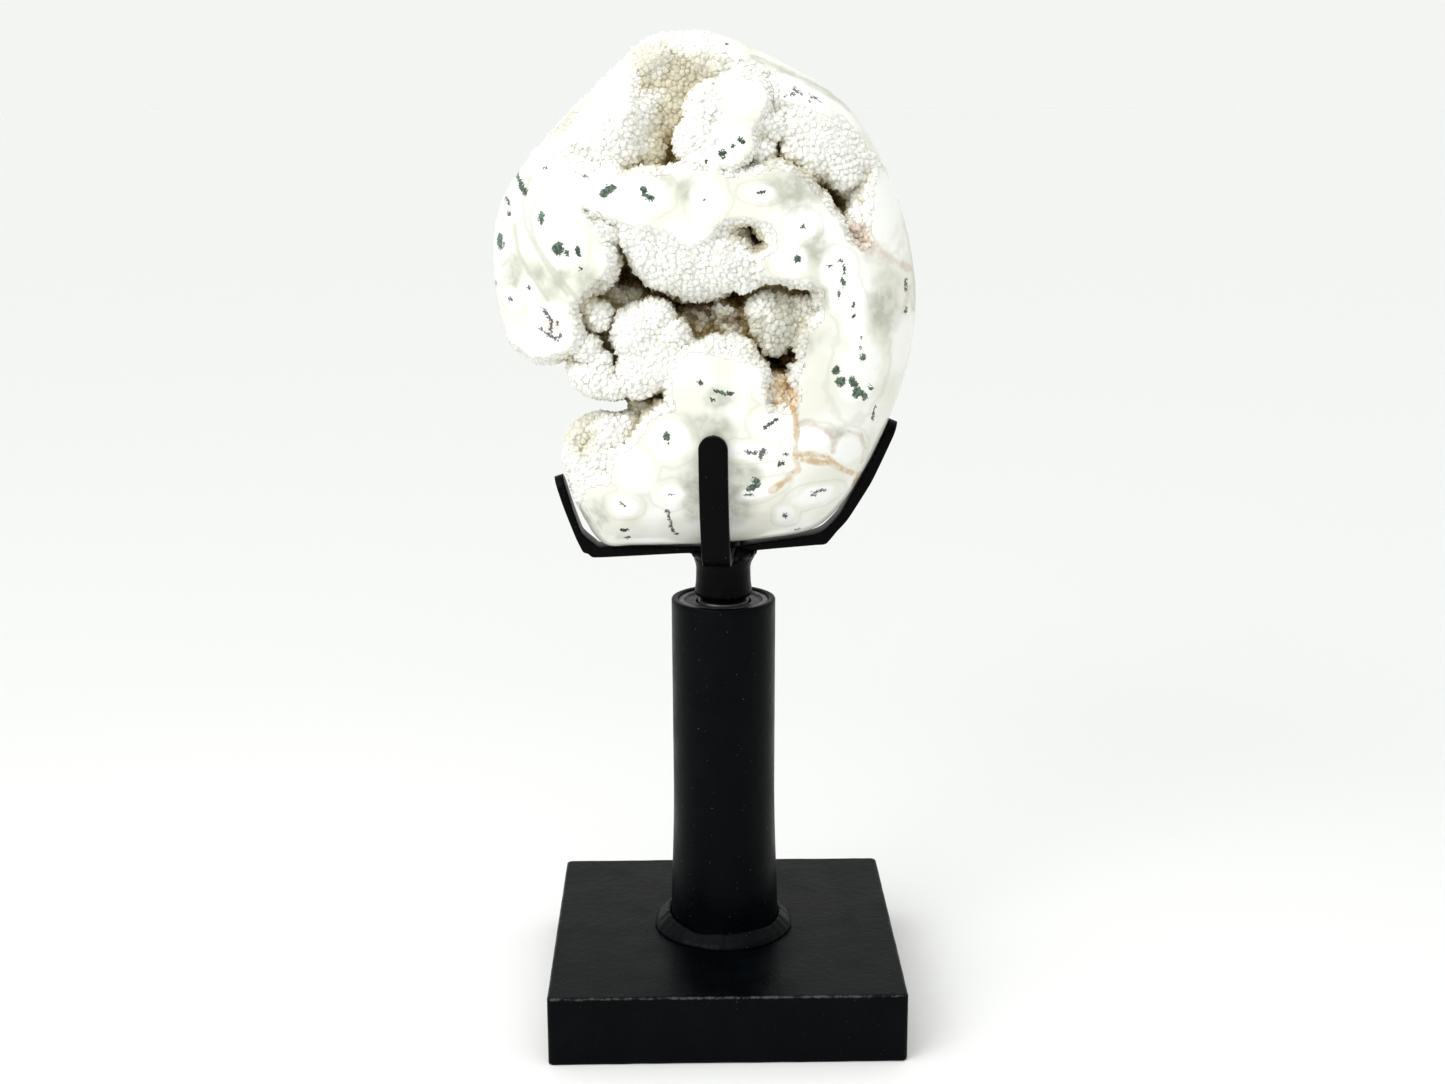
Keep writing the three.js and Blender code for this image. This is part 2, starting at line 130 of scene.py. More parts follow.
BAND_AND_FACE: list[Point2] = [
    (-49.5, 245), (-39.5, 245.5), (-34, 244), (-29, 243), (-26, 241), (-21, 242.5), (-12, 243), (-8.5, 243.5),
    (-3.5, 243.5), (3, 242), (8, 243), (14, 244.5), (20.5, 241.5), (25.5, 236.5), (30.5, 230.5), (31.5, 227),
    (34, 224), (37.5, 222.5), (40, 225), (39, 230), (39.5, 235.5), (40.5, 240.5), (42.5, 243.5),
    (60, 246), (70, 200), (50, 125), (-50, 125),
    (-42, 146.5), (-37, 157), (-31.5, 159.5), (-30.5, 165), (-31, 167.5), (-26.5, 169), (-23.5, 171.5),
    (-21.5, 174.5), (-20.5, 177), (-17.5, 179.5), (-14, 180.5),
    (-14.5, 184.5), (-15, 190), (-12, 194.5), (-7.5, 196.5), (-3.5, 195.5), (3, 193.5), (9, 192),
    (11, 189), (10.5, 185.5), (11.5, 182), (13, 179.5), (17.5, 179), (19.5, 181.5),
    (20.5, 184.5), (19.5, 187), (17.5, 190), (17.5, 192), (19, 193.5), (20.5, 196.5), (22, 200),
    (23.5, 203), (27, 205),
    (25, 208.5), (26, 211.5), (23, 213), (18, 214), (12.5, 215), (10, 216.5), (9, 220), (13, 223),
    (13, 226.5), (11.5, 229), (7, 230.5), (3, 230.5), (-2, 229), (-4, 225), (-8.5, 223), (-12.5, 224.5), (-15.5, 227.5),
    (-21, 228.5), (-29.5, 230.5), (-34, 232), (-37.5, 234),
    (-35.5, 230.5), (-32.5, 226), (-30, 222), (-31.5, 216.5), (-35, 213), (-38.5, 210), (-41, 208.5),
    (-40, 204), (-39, 199.5), (-40, 197), (-44.5, 194.5), (-48, 193), (-52, 193), (-56, 193.5),
    (-75, 190), (-75, 235), (-60, 250),
]
TOP_PATCH: list[Point2] = [
    (-4.5, 277), (-0.5, 274.5), (4.5, 271), (10, 271), (13.5, 268), (14.5, 265), (14.5, 261.5),
    (18.5, 259.5), (23, 259), (28.5, 256), (31.5, 257), (35, 253.5), (38.5, 250), (42, 244.5),
    (60, 246), (50, 270), (0, 290),
]
DOT_PATCH: list[Point2] = [
    (-8, 245.5), (-5.5, 248.5), (-2.5, 251.5), (0, 256), (-1, 261), (0, 265.5), (5, 267.5), (10.5, 266),
    (12, 261), (10, 256.5), (8, 253.5), (8.8, 250), (6.5, 246.5), (3, 243.8), (-3.5, 244),
]

# Druzy lobes of the front and the back: x, z and y of the centre, and the radius
FRONT_LOBES: list[tuple[float, float, float, float]] = [
    # The top, left of the upper crevice
    (-18.5, 272, -6.5, 7.5), (-24.5, 270.5, -5.5, 5.5), (-14.5, 275, -6, 5.5), (-4.5, 273.5, -7.5, 7), (-1, 269.5, -12, 4),
    (-31, 256, -8, 13), (-40, 250.5, -6.5, 9.5), (-26.5, 263.5, -8, 7.5), (-45, 248, -8, 5.5), (-30, 248, -10.5, 9.5),
    (-37, 262.5, 4.5, 7.5), (-44, 255, 2, 7.5), (-33, 266.5, 3, 5.5), (-28, 268, 0, 8),
    # The upper crevice's left wall
    (-22.5, 259, -7.5, 8), (-21.5, 250.5, -6, 8), (-20, 247, -9, 6), (-21.5, 266.5, -8, 4.5),
    # The ridge between the two upper crevices
    (-2.5, 258.5, -14, 8.3), (-6.5, 250.5, -17.5, 7), (5, 262.5, -11.5, 9), (-3.5, 262.5, -16.5, 3.5), (-6.5, 246, -20, 4.5),
    (1.5, 250.5, -16.5, 8), (8, 256, -16, 5.5), (13, 254.5, -14.5, 5), (10.5, 247.5, -17.5, 4), (8, 269.5, -7, 6.5),
    # The hollow at the top right, and the small lobes at its end
    (27, 250, -7.5, 12), (35.5, 248, -8, 7.5), (21, 254.5, -11.5, 7.5), (32.5, 242.5, -13.5, 5), (24, 245, -14, 5.5),
    (20, 248, -14, 5), (18.5, 260.5, -9.5, 7.5), (38, 254.5, 8, 7.5), (40, 245, 0, 8),
    (40, 234, -11, 6), (44.5, 239.5, -4.5, 5), (37.5, 228, -15.5, 5), (36, 231, -16.5, 3), (44.5, 231, -9.5, 5),
    # The end of the left mass, and the lobe that hangs under the band
    (-38.5, 219.5, -13, 11.5), (-32.5, 227, -20, 5), (-48, 203, -12, 10), (-53, 199, -6, 9),
    (-8, 223, -10, 16.5), (-19, 223.5, -18.5, 7.5), (-21.5, 228.5, -20.5, 5.5), (5.5, 216.5, -19, 6), (4.5, 219.5, -20.5, 5.5),
    (-0.5, 227.5, -19, 5), (11.5, 227.5, -21, 3), (12.5, 219.5, -21.5, 5), (-23, 227, -21, 5.5), (-16.5, 228, -20, 6.5),
    (-10, 229.5, -19.5, 7.5), (-4.5, 230.5, -21.5, 5), (-13.5, 221.5, -14.5, 12), (-1, 219.5, -18, 9), (-19.5, 220.5, -20, 5.5),
    # The row down the left of the middle gap
    (-34, 204.5, -16.5, 4.5), (-37, 207.5, -18.5, 3), (-37, 196, -20, 4), (-34.5, 187, -17.5, 6.5), (-39, 188.5, -19, 3.5),
    (-30, 185, -20, 4), (-33, 192.5, -20, 3), (-37.5, 193, -8, 6), (-37, 186, -8, 6.5), (-37, 201.5, -6, 6),
    # The lobes that run into the lower face
    (-22.5, 199.5, -17.5, 8.5), (-17.5, 192.5, -18, 9), (-22.5, 189, -18, 7.5), (-12, 191.5, -19, 8), (-18.5, 204, -20, 5.5),
    (-13.5, 199.5, -21, 5), (-5.5, 189, -18.5, 8), (2, 191.5, -18.5, 8), (7, 188.5, -21.5, 5), (-2, 195.5, -22.5, 4),
    # The grey lobe in the gap, and the gap's deep floor
    (15.5, 201.5, -12, 9), (22, 204, -14, 5.5), (10.5, 206, -15, 5), (13, 197, -16, 4),
    (-7, 202, -5.5, 7.5), (0, 203, -6.5, 6.5), (3, 199, -9.5, 5), (-27.5, 205.5, -7, 4),
    # The iron pocket, and the foot on the left
    (19.5, 191, -22, 3.5), (16, 181, -17.5, 5.5), (14.5, 185.5, -18, 3.5),
    (-39, 172.5, -12, 6), (-31, 172, -16.5, 6), (-40, 165.5, -11, 5.5), (-34, 166, -15.5, 5.5), (-38.5, 158, -8.5, 7.5),
    (-26.5, 174.5, -16.5, 4.2), (-21, 178, -10.5, 4.5), (-34.5, 154.5, -13, 10),
]

# Where the hollows go deeper than their general floor: x, z, reach across, and how much deeper
FRONT_PITS: list[tuple[float, float, float, float]] = [
    (-25, 214.5, 4, 11), (-17, 211.5, 4, 11), (-10, 208, 4, 10), (-2, 207.5, 4, 8), (4, 209.5, 3.5, 5),
    (15.5, 192.5, 4.5, 11), (11.5, 193, 3.5, 6), (7.6, 224.6, 2.8, 10), (18.5, 241.8, 2.6, 4),
    (22.4, 239.5, 2.8, 7), (26.6, 235.6, 3.2, 10), (30.6, 233.2, 3, 10), (-14.5, 247, 3, 3), 
]
# Round hollows cut into the stone: x, z and y of the middle, and the reach across, up and in
CARVED: list[tuple[float, float, float, float, float, float]] = [
    (5.3, 226.3, -27, 7.2, 4.2, 4.5), (8.6, 223.8, -24, 2.8, 2.4, 6.5), (15.6, 189.8, -22, 3.4, 2.4, 16), (18.4, 193, -22, 2.4, 3, 13),
]
BACK_HOLLOWS: list[tuple[float, float, float]] = [(-34, 206, 17), (-20, 200, 15), (-38, 190, 14)]
BACK_LOBES: list[tuple[float, float, float, float]] = [
    (-40, 197, 12, 8), (-31, 205, 13, 9), (-42, 210, 11, 9), (-24, 193, 13, 9), (-33, 187, 10, 8),
    (-17, 205, 12, 9), (-22, 216, 11, 9), (-35, 220, 10, 9), (-12, 190, 12, 8),
]


# Number work on points

def closed_curve(corners: Sequence[Point2], per_side: int = 16) -> np.ndarray:
    """A smooth closed curve through corners, as a centripetal Catmull-Rom spline.

    Args:
        corners: The points that the curve passes, in order.
        per_side: How many points each side of the outline gets.

    Returns:
        The curve's points, one row each.
    """
    middle = np.asarray(corners, float)
    before, after = np.roll(middle, 1, 0), np.roll(middle, -1, 0)
    beyond = np.roll(middle, -2, 0)
    root = [np.sqrt(np.linalg.norm(b - a, axis=1))[:, None] for a, b in ((before, middle), (middle, after), (after, beyond))]
    first, side, last = root
    leave = ((middle - before) / first - (after - before) / (first + side) + (after - middle) / side) * side
    enter = ((after - middle) / side - (beyond - middle) / (side + last) + (beyond - after) / last) * side
    part = np.linspace(0, 1, per_side, endpoint=False)[None, :, None]
    a, b, c, d = (v[:, None, :] for v in (middle, leave, after, enter))
    cube = 2 * a - 2 * c + b + d
    square = -3 * a + 3 * c - 2 * b - d
    return (a + part * (b + part * (square + part * cube))).reshape(-1, 2)


def outline_distance(x: np.ndarray, z: np.ndarray, outline: Sequence[Point2]) -> np.ndarray:
    """Distance from each point to a closed outline, negative inside it.

    Args:
        x: Across positions.
        z: Heights, of the same shape.
        outline: The outline's corners.

    Returns:
        Signed distances in the shape of x.
    """
    nearest = np.full(x.shape, np.inf)
    inside = np.zeros(x.shape, bool)
    for (x1, z1), (x2, z2) in zip(outline, [*outline[1:], outline[0]]):
        run, rise = x2 - x1, z2 - z1
        part = np.clip(((x - x1) * run + (z - z1) * rise) / (run * run + rise * rise), 0, 1)
        nearest = np.minimum(nearest, (x - x1 - part * run) ** 2 + (z - z1 - part * rise) ** 2)
        if rise:
            inside ^= ((z1 > z) != (z2 > z)) & (x < x1 + (z - z1) * run / rise)
    return np.where(inside, -1.0, 1.0) * np.sqrt(nearest)


@dataclass(frozen=True)
class SmoothNoise:
    """Repeatable smooth noise over space, between about -1 and 1."""

    seed: int
    scale: float
    size: int = 24

    def at(self, x: np.ndarray, y: np.ndarray, z: np.ndarray) -> np.ndarray:
        """The noise at points given by their three coordinates, which broadcast together."""
        lattice = np.random.default_rng(self.seed).uniform(-1, 1, (self.size,) * 3).astype(np.float32)
        cells, parts = [], []
        for value in (x, y, z):
            place = value / self.scale + 100.0
            cell = np.floor(place).astype(int)
            part = (place - cell).astype(np.float32)
            cells.append(cell)
            parts.append(part * part * (3 - 2 * part))
        total = 0.0
        for corner in itertools.product((0, 1), repeat=3):
            weight = 1.0
            for part, step in zip(parts, corner):
                weight = weight * (part if step else 1 - part)
            total = total + weight * lattice[tuple((c + s) % self.size for c, s in zip(cells, corner))]
        return total


def smooth_step(value: np.ndarray, low: float, high: float) -> np.ndarray:
    """0 below low, 1 above high, and a smooth rise between."""
    part = np.clip((value - low) / (high - low), 0, 1)
    return part * part * (3 - 2 * part)


# Meshes

def make_object(name: str, shape: Shape, smooth: bool = True) -> bpy.types.Object:
    """A mesh object in metres from points in millimetres.

    Args:
        name: The object's name.
        shape: Its points, and its faces as rows of three or four corners.
        smooth: Whether its faces are shaded smooth.

    Returns:
        The object, linked to the scene.
    """
    points, faces = shape
    mesh = bpy.data.meshes.new(name)
    per_face = faces.shape[1]
    mesh.vertices.add(len(points))
    mesh.vertices.foreach_set("co", (np.asarray(points) * METRES).astype(np.float32).ravel())
    mesh.loops.add(faces.size)
    mesh.loops.foreach_set("vertex_index", faces.astype(np.int32).ravel())
    mesh.polygons.add(len(faces))
    mesh.polygons.foreach_set("loop_start", np.arange(0, faces.size, per_face, dtype=np.int32))
    mesh.polygons.foreach_set("use_smooth", np.full(len(faces), smooth))
    mesh.update(calc_edges=True)
    mesh.validate()
    piece = bpy.data.objects.new(name, mesh)
    bpy.context.scene.collection.objects.link(piece)
    return piece


def join_shapes(shapes: Iterable[Shape]) -> Shape:
    """Several shapes with faces of the same kind as one."""
    points, faces, count = [], [], 0
    for some_points, some_faces in shapes:
        points.append(some_points)
        faces.append(some_faces + count)
        count += len(some_points)
    return np.vstack(points), np.vstack(faces)


def loft(rings: np.ndarray) -> Shape:
    """A closed skin over rings of points, its first and last ring closed to a point.

    Args:
        rings: Points as [ring, place in ring, axis]. Faces point outwards where each ring runs
            anticlockwise as seen from the last ring's side.

    Returns:
        Points and triangles.
    """
    count, per_ring = rings.shape[:2]
    ends = np.array([rings[0].mean(0), rings[-1].mean(0)])
    points = np.vstack([rings.reshape(-1, 3), ends])
    start = np.arange(count - 1)[:, None] * per_ring
    here = np.arange(per_ring)[None, :]
    after = (here + 1) % per_ring
    a, b, c, d = start + here, start + after, start + per_ring + after, start + per_ring + here
    sides = np.stack([a, b, c, a, c, d], -1).reshape(-1, 3)
    first, last = count * per_ring, count * per_ring + 1
    ring = np.arange(per_ring)
    foot = np.stack([np.full(per_ring, first), (ring + 1) % per_ring, ring], 1)
    top = ring + (count - 1) * per_ring
    head = np.stack([np.full(per_ring, last), top, (ring + 1) % per_ring + (count - 1) * per_ring], 1)
    return points, np.vstack([sides, foot, head])


def tube_loft(rings: np.ndarray) -> Shape:
    """A skin over rings of points whose last ring joins the first, as on a ring-shaped body."""
    count, per_ring = rings.shape[:2]
    start = np.arange(count)[:, None] * per_ring
    following = (np.arange(count)[:, None] + 1) % count * per_ring
    here = np.arange(per_ring)[None, :]
    after = (here + 1) % per_ring
    a, b, c, d = start + here, start + after, following + after, following + here
    return rings.reshape(-1, 3), np.stack([a, b, c, a, c, d], -1).reshape(-1, 3)


def softened(corners: Sequence[Point2], radius: float, steps: int = 3, closed: bool = True) -> np.ndarray:
    """An outline whose corners are rounded.

    Args:
        corners: The sharp outline.
        radius: How far from each corner its rounding starts, at most.
        steps: Points in each rounding, less one.
        closed: Whether the outline closes on itself. Otherwise its two ends stay sharp.

    Returns:
        The rounded outline's points.
    """
    sharp = np.asarray(corners, float)
    count = len(sharp)
    rounded: list[np.ndarray] = []
    for i in range(count):
        corner = sharp[i]
        if not closed and i in (0, count - 1):
            rounded.append(corner)
            continue
        before, after = sharp[i - 1] - corner, sharp[(i + 1) % count] - corner
        reach = min(radius, 0.45 * np.linalg.norm(before), 0.45 * np.linalg.norm(after))
        start = corner + before / np.linalg.norm(before) * reach
        end = corner + after / np.linalg.norm(after) * reach
        for part in np.linspace(0, 1, steps + 1):
            rounded.append((1 - part) ** 2 * start + 2 * part * (1 - part) * corner + part**2 * end)
    return np.array(rounded)


def turned(profile: np.ndarray, segments: int = 128) -> Shape:
    """A ring of revolution about the swivel axis, from a closed profile of (radius, z) points.

    Args:
        profile: The section, anticlockwise with the radius to the right and z up.
        segments: Steps round the axis.

    Returns:
        Points and triangles.
    """
    angle = np.linspace(0, 2 * math.pi, segments, endpoint=False)[:, None]
    radius, height = profile[None, :, 0], profile[None, :, 1]
    rings = np.stack([radius * np.cos(angle), radius * np.sin(angle), height + 0 * angle], -1)
    return tube_loft(rings)


def turned_solid(profile: np.ndarray, segments: int = 128) -> Shape:
    """A solid of revolution about the swivel axis, from (radius, z) points that run upwards."""
    angle = np.linspace(0, 2 * math.pi, segments, endpoint=False)[None, :]
    radius, height = profile[:, 0, None], profile[:, 1, None]
    rings = np.stack([radius * np.cos(angle), radius * np.sin(angle), height + 0 * angle], -1)
    return loft(rings)


# Shader nodes

class NodeSketch:
    """Adds nodes to one tree and links them."""

    def __init__(self, tree: bpy.types.NodeTree) -> None:
        """Starts on a tree, whose nodes are cleared."""
        self.tree = tree
        tree.nodes.clear()

    def add(self, kind: str, inputs: dict | None = None, **settings) -> bpy.types.Node:
        """One node.

        Args:
            kind: The node's type name.
            inputs: Values or sockets by input name or number.
            settings: The node's own properties.

        Returns:
            The node.
        """
        node = self.tree.nodes.new(kind)
        for name, value in settings.items():
            setattr(node, name, value)
        for key, value in (inputs or {}).items():
            self.feed(node, key, value)
        return node

    def feed(self, node: bpy.types.Node, key: str | int, value: object) -> None:
        """Sets an input to a value, or links it to a socket."""
        socket = node.inputs[key] if isinstance(key, int) else next(
            s for s in node.inputs if s.name == key and s.enabled
        )
        if isinstance(value, bpy.types.NodeSocket):
            self.tree.links.new(value, socket)
        else:
            socket.default_value = value

    def math(self, operation: str, *values: object, clamp: bool = False) -> bpy.types.NodeSocket:
        """The result of a Math node."""
        node = self.add("ShaderNodeMath", dict(enumerate(values)), operation=operation, use_clamp=clamp)
        return node.outputs[0]

    def vector(self, operation: str, *values: object) -> bpy.types.NodeSocket:
        """The result of a Vector Math node."""
        node = self.add("ShaderNodeVectorMath", dict(enumerate(values)), operation=operation)
        return node.outputs["Value" if operation in ("LENGTH", "DOT_PRODUCT", "DISTANCE") else "Vector"]

    def scaled(self, value: bpy.types.NodeSocket, factor: float) -> bpy.types.NodeSocket:
        """A vector times a number."""
        node = self.add("ShaderNodeVectorMath", {0: value, "Scale": factor}, operation="SCALE")
        return node.outputs["Vector"]

    def step(self, value: object, low: float, high: float, start: float = 0.0, end: float = 1.0) -> bpy.types.NodeSocket:
        """A smooth change from start, where value is low, to end, where it is high."""
        node = self.add(
            "ShaderNodeMapRange",
            {"Value": value, "From Min": low, "From Max": high, "To Min": start, "To Max": end},
            interpolation_type="SMOOTHSTEP",
        )
        return node.outputs["Result"]

    def mix(self, factor: object, first: object, second: object, blend: str = "MIX") -> bpy.types.NodeSocket:
        """Two colours mixed."""
        node = self.add("ShaderNodeMix", data_type="RGBA", blend_type=blend)
        colours = [s for s in node.inputs if s.type == "RGBA"]
        for socket, value in zip([node.inputs["Factor"], *colours], (factor, first, second)):
            if isinstance(value, bpy.types.NodeSocket):
                self.tree.links.new(value, socket)
            else:
                socket.default_value = (*value, 1.0) if isinstance(value, tuple) else value
        return next(s for s in node.outputs if s.type == "RGBA")

    def noise(self, place: bpy.types.NodeSocket, scale: float, detail: float = 2.0, rough: float = 0.5, colour: bool = False) -> bpy.types.NodeSocket:
        """A noise texture's height, or its colour."""
        node = self.add("ShaderNodeTexNoise", {"Vector": place, "Scale": scale, "Detail": detail, "Roughness": rough})
        return node.outputs["Color" if colour else "Fac"]

    def attribute(self, name: str) -> bpy.types.NodeSocket:
        """A number that the mesh carries on its points."""
        return self.add("ShaderNodeAttribute", attribute_name=name, attribute_type="GEOMETRY").outputs["Fac"]

    def facing(self, name: str) -> bpy.types.NodeSocket:
        """A direction that the mesh carries, turned with the object."""
        carried = self.add("ShaderNodeAttribute", attribute_name=name, attribute_type="GEOMETRY").outputs["Vector"]
        turned = self.add(
            "ShaderNodeVectorTransform", {0: carried}, vector_type="NORMAL", convert_from="OBJECT", convert_to="WORLD"
        )
        return turned.outputs[0]

    def millimetres(self) -> bpy.types.NodeSocket:
        """The object's own coordinates, in millimetres."""
        place = self.add("ShaderNodeTexCoord").outputs["Object"]
        return self.scaled(place, 1 / METRES)

    def bump(self, height: bpy.types.NodeSocket, depth: float, strength: float = 1.0) -> bpy.types.NodeSocket:
        """A bumped normal, with its full depth in metres."""
        return self.add("ShaderNodeBump", {"Height": height, "Distance": depth, "Strength": strength}).outputs["Normal"]


def new_material(name: str) -> tuple[bpy.types.Material, NodeSketch, bpy.types.Node]:
    """A material with a principled shader on its output.

    Args:
        name: The material's name.

    Returns:
        The material, a sketch of its nodes, and the shader.
    """
    material = bpy.data.materials.new(name)
    material.use_nodes = True
    sketch = NodeSketch(material.node_tree)
    shader = sketch.add("ShaderNodeBsdfPrincipled")
    sketch.add("ShaderNodeOutputMaterial", {"Surface": shader.outputs[0]})
    return material, sketch, shader


@dataclass(frozen=True)
class BlackPaint:
    """Brushed-on black enamel over steel, a little uneven and with dust and wear on its edges."""

    name: str
    colour: Colour = (0.0004, 0.0008, 0.0012)
    sheen_low: float = 0.28
    sheen_high: float = 0.42
    worn_colour: Colour = (0.1, 0.1, 0.1)
    worn_half: float | None = None
    worn_top: float = 20.0

    def material(self) -> bpy.types.Material:
        """Builds the paint."""
        material, sketch, shader = new_material(self.name)
        place = sketch.millimetres()
        cloud = sketch.noise(place, 0.09, 3.0)
        grain = sketch.noise(place, 1.1, 3.0, 0.6)
        lighter = tuple(2.0 * c for c in self.colour)
        tone = sketch.mix(sketch.step(cloud, 0.42, 0.75), self.colour, lighter)
        speck = sketch.noise(place, 1.9, 0.0)
        tone = sketch.mix(sketch.step(speck, 0.84, 0.87), tone, (0.06, 0.06, 0.058))
        if self.worn_half is not None:
            tone = sketch.mix(self.wear(sketch, place), tone, self.worn_colour)
        sketch.feed(shader, "Base Color", tone)
        rough = sketch.step(sketch.math("ADD", cloud, sketch.math("MULTIPLY", grain, 0.3)), 0.4, 0.9, self.sheen_low, self.sheen_high)
        sketch.feed(shader, "Roughness", rough)
        height = sketch.math("ADD", grain, sketch.math("MULTIPLY", sketch.noise(place, 0.35, 2.0), 1.4))
        sketch.feed(shader, "Normal", sketch.bump(height, 0.00011, 0.5))
        shader.inputs["Specular IOR Level"].default_value = 0.05
        return material

    def wear(self, sketch: NodeSketch, place: bpy.types.NodeSocket) -> bpy.types.NodeSocket:
        """How far the paint is worn off, along the plate's upper edges."""
        split = sketch.add("ShaderNodeSeparateXYZ", {0: place})
        across = sketch.math("ABSOLUTE", split.outputs["X"])
        along = sketch.math("ABSOLUTE", split.outputs["Y"])
        outer = sketch.math("SUBTRACT", self.worn_half, sketch.math("MAXIMUM", across, along))
        below = sketch.math("SUBTRACT", self.worn_top, split.outputs["Z"])
        corner = sketch.math("ADD", sketch.math("ABSOLUTE", outer), sketch.math("ABSOLUTE", below))
        ragged = sketch.math("MULTIPLY", sketch.noise(place, 0.5, 5.0, 0.7), 1.5)
        return sketch.math("MULTIPLY", sketch.step(sketch.math("SUBTRACT", corner, ragged), -0.1, -0.5), 0.5)


@dataclass(frozen=True)
class TurnedSteel:
    """Ground bearing steel with fine rings and a film of old grease."""

    name: str
    colour: Colour
    rough: float

    def material(self) -> bpy.types.Material:
        """Builds the steel."""
        material, sketch, shader = new_material(self.name)
        place = sketch.millimetres()
        split = sketch.add("ShaderNodeSeparateXYZ", {0: place})
        flat = sketch.add("ShaderNodeCombineXYZ", {"X": split.outputs["X"], "Y": split.outputs["Y"]}).outputs[0]
        radius = sketch.vector("LENGTH", flat)
        rings = sketch.add("ShaderNodeCombineXYZ", {"X": radius, "Z": split.outputs["Z"]}).outputs[0]
        lines = sketch.noise(rings, 9.0, 2.0)
        smear = sketch.noise(place, 0.4, 3.0)
        dark = tuple(0.45 * c for c in self.colour)
        sketch.feed(shader, "Base Color", sketch.mix(sketch.step(smear, 0.35, 0.7), dark, self.colour))
        sketch.feed(shader, "Roughness", sketch.step(lines, 0.3, 0.7, self.rough, self.rough + 0.2))
        sketch.feed(shader, "Normal", sketch.bump(lines, 0.00003, 0.4))
        shader.inputs["Metallic"].default_value = 0.85
        return material


@dataclass(frozen=True)
class Blot:
    """A rounded mark in the stone: its place, its half width and half height, and its turn."""

    x: float
    z: float
    wide: float
    high: float
    turn: float = 0.0

    def slant(self) -> "Slant":
        """The leaning frame that it is nearly round in."""
        long, short = max(self.wide, self.high), min(self.wide, self.high)
        stretch = next((s for s, most in ((1.0, 1.35), (2.0, 2.9)) if long / short < most), 4.5)
        turn = self.turn + (math.pi / 2 if self.wide > self.high else 0.0)
        steps = round(turn / Slant.STEP) % Slant.TURNS if stretch > 1 else 0
        return Slant(stretch, steps)

    def away(self, place: np.ndarray) -> np.ndarray:
        """Distance from each place to the middle, which is 1 at the mark's edge."""
        across, up = (place - (self.x, self.z)).T
        along = (across * math.cos(self.turn) - up * math.sin(self.turn)) / self.wide
        over = (across * math.sin(self.turn) + up * math.cos(self.turn)) / self.high
        return np.hypot(along, over)

    def size(self) -> float:
        """Its radius, were it round."""
        return math.sqrt(self.wide * self.high)


@dataclass(frozen=True)
class Slant:
    """A frame over the stone's face, turned by some steps and squeezed along its upright axis."""

    stretch: float
    steps: int
    TURNS: ClassVar[int] = 6
    STEP: ClassVar[float] = math.pi / 6

    def turn(self) -> float:
        """Its turn in radians, clockwise as seen from the front."""
        return self.steps * self.STEP

    def scale(self) -> tuple[float, float]:
        """How wide and how high its unit is."""
        return 1 / math.sqrt(self.stretch), math.sqrt(self.stretch)

    def local(self, x: float, z: float) -> Point2:
        """A place, in this frame."""
        cos, sin = math.cos(self.turn()), math.sin(self.turn())
        wide, high = self.scale()
        return (x * cos - z * sin) / wide, (x * sin + z * cos) / high


@dataclass(frozen=True)
class Thread:
    """A vein or a thin layer: a line through places on the stone's face, and half its width."""

    places: tuple[Point2, ...]
    wide: float

    def away(self, place: np.ndarray) -> np.ndarray:
        """Distance from each place to the line, which is 1 at the line's edge."""
        least = np.full(len(place), np.inf)
        for start, end in itertools.pairwise(self.places):
            along = np.subtract(end, start)
            part = np.clip((place - start) @ along / (along @ along), 0, 1)
            least = np.minimum(least, np.linalg.norm(place - start - part[:, None] * along, axis=1))
        return least / self.wide


class MarkTone(Enum):
    """The colours of what is grown into the agate."""

    MOSS = (0.008, 0.028, 0.014)
    MOSS_PALE = (0.06, 0.14, 0.08)
    SLATE = (0.03, 0.034, 0.038)
    IRON = (0.56, 0.37, 0.17)
    ROSE = (0.5, 0.33, 0.27)
    CLEAR = (0.47, 0.48, 0.4)
    CREAM = (0.79, 0.79, 0.7)
    MILK = (0.93, 0.93, 0.9)


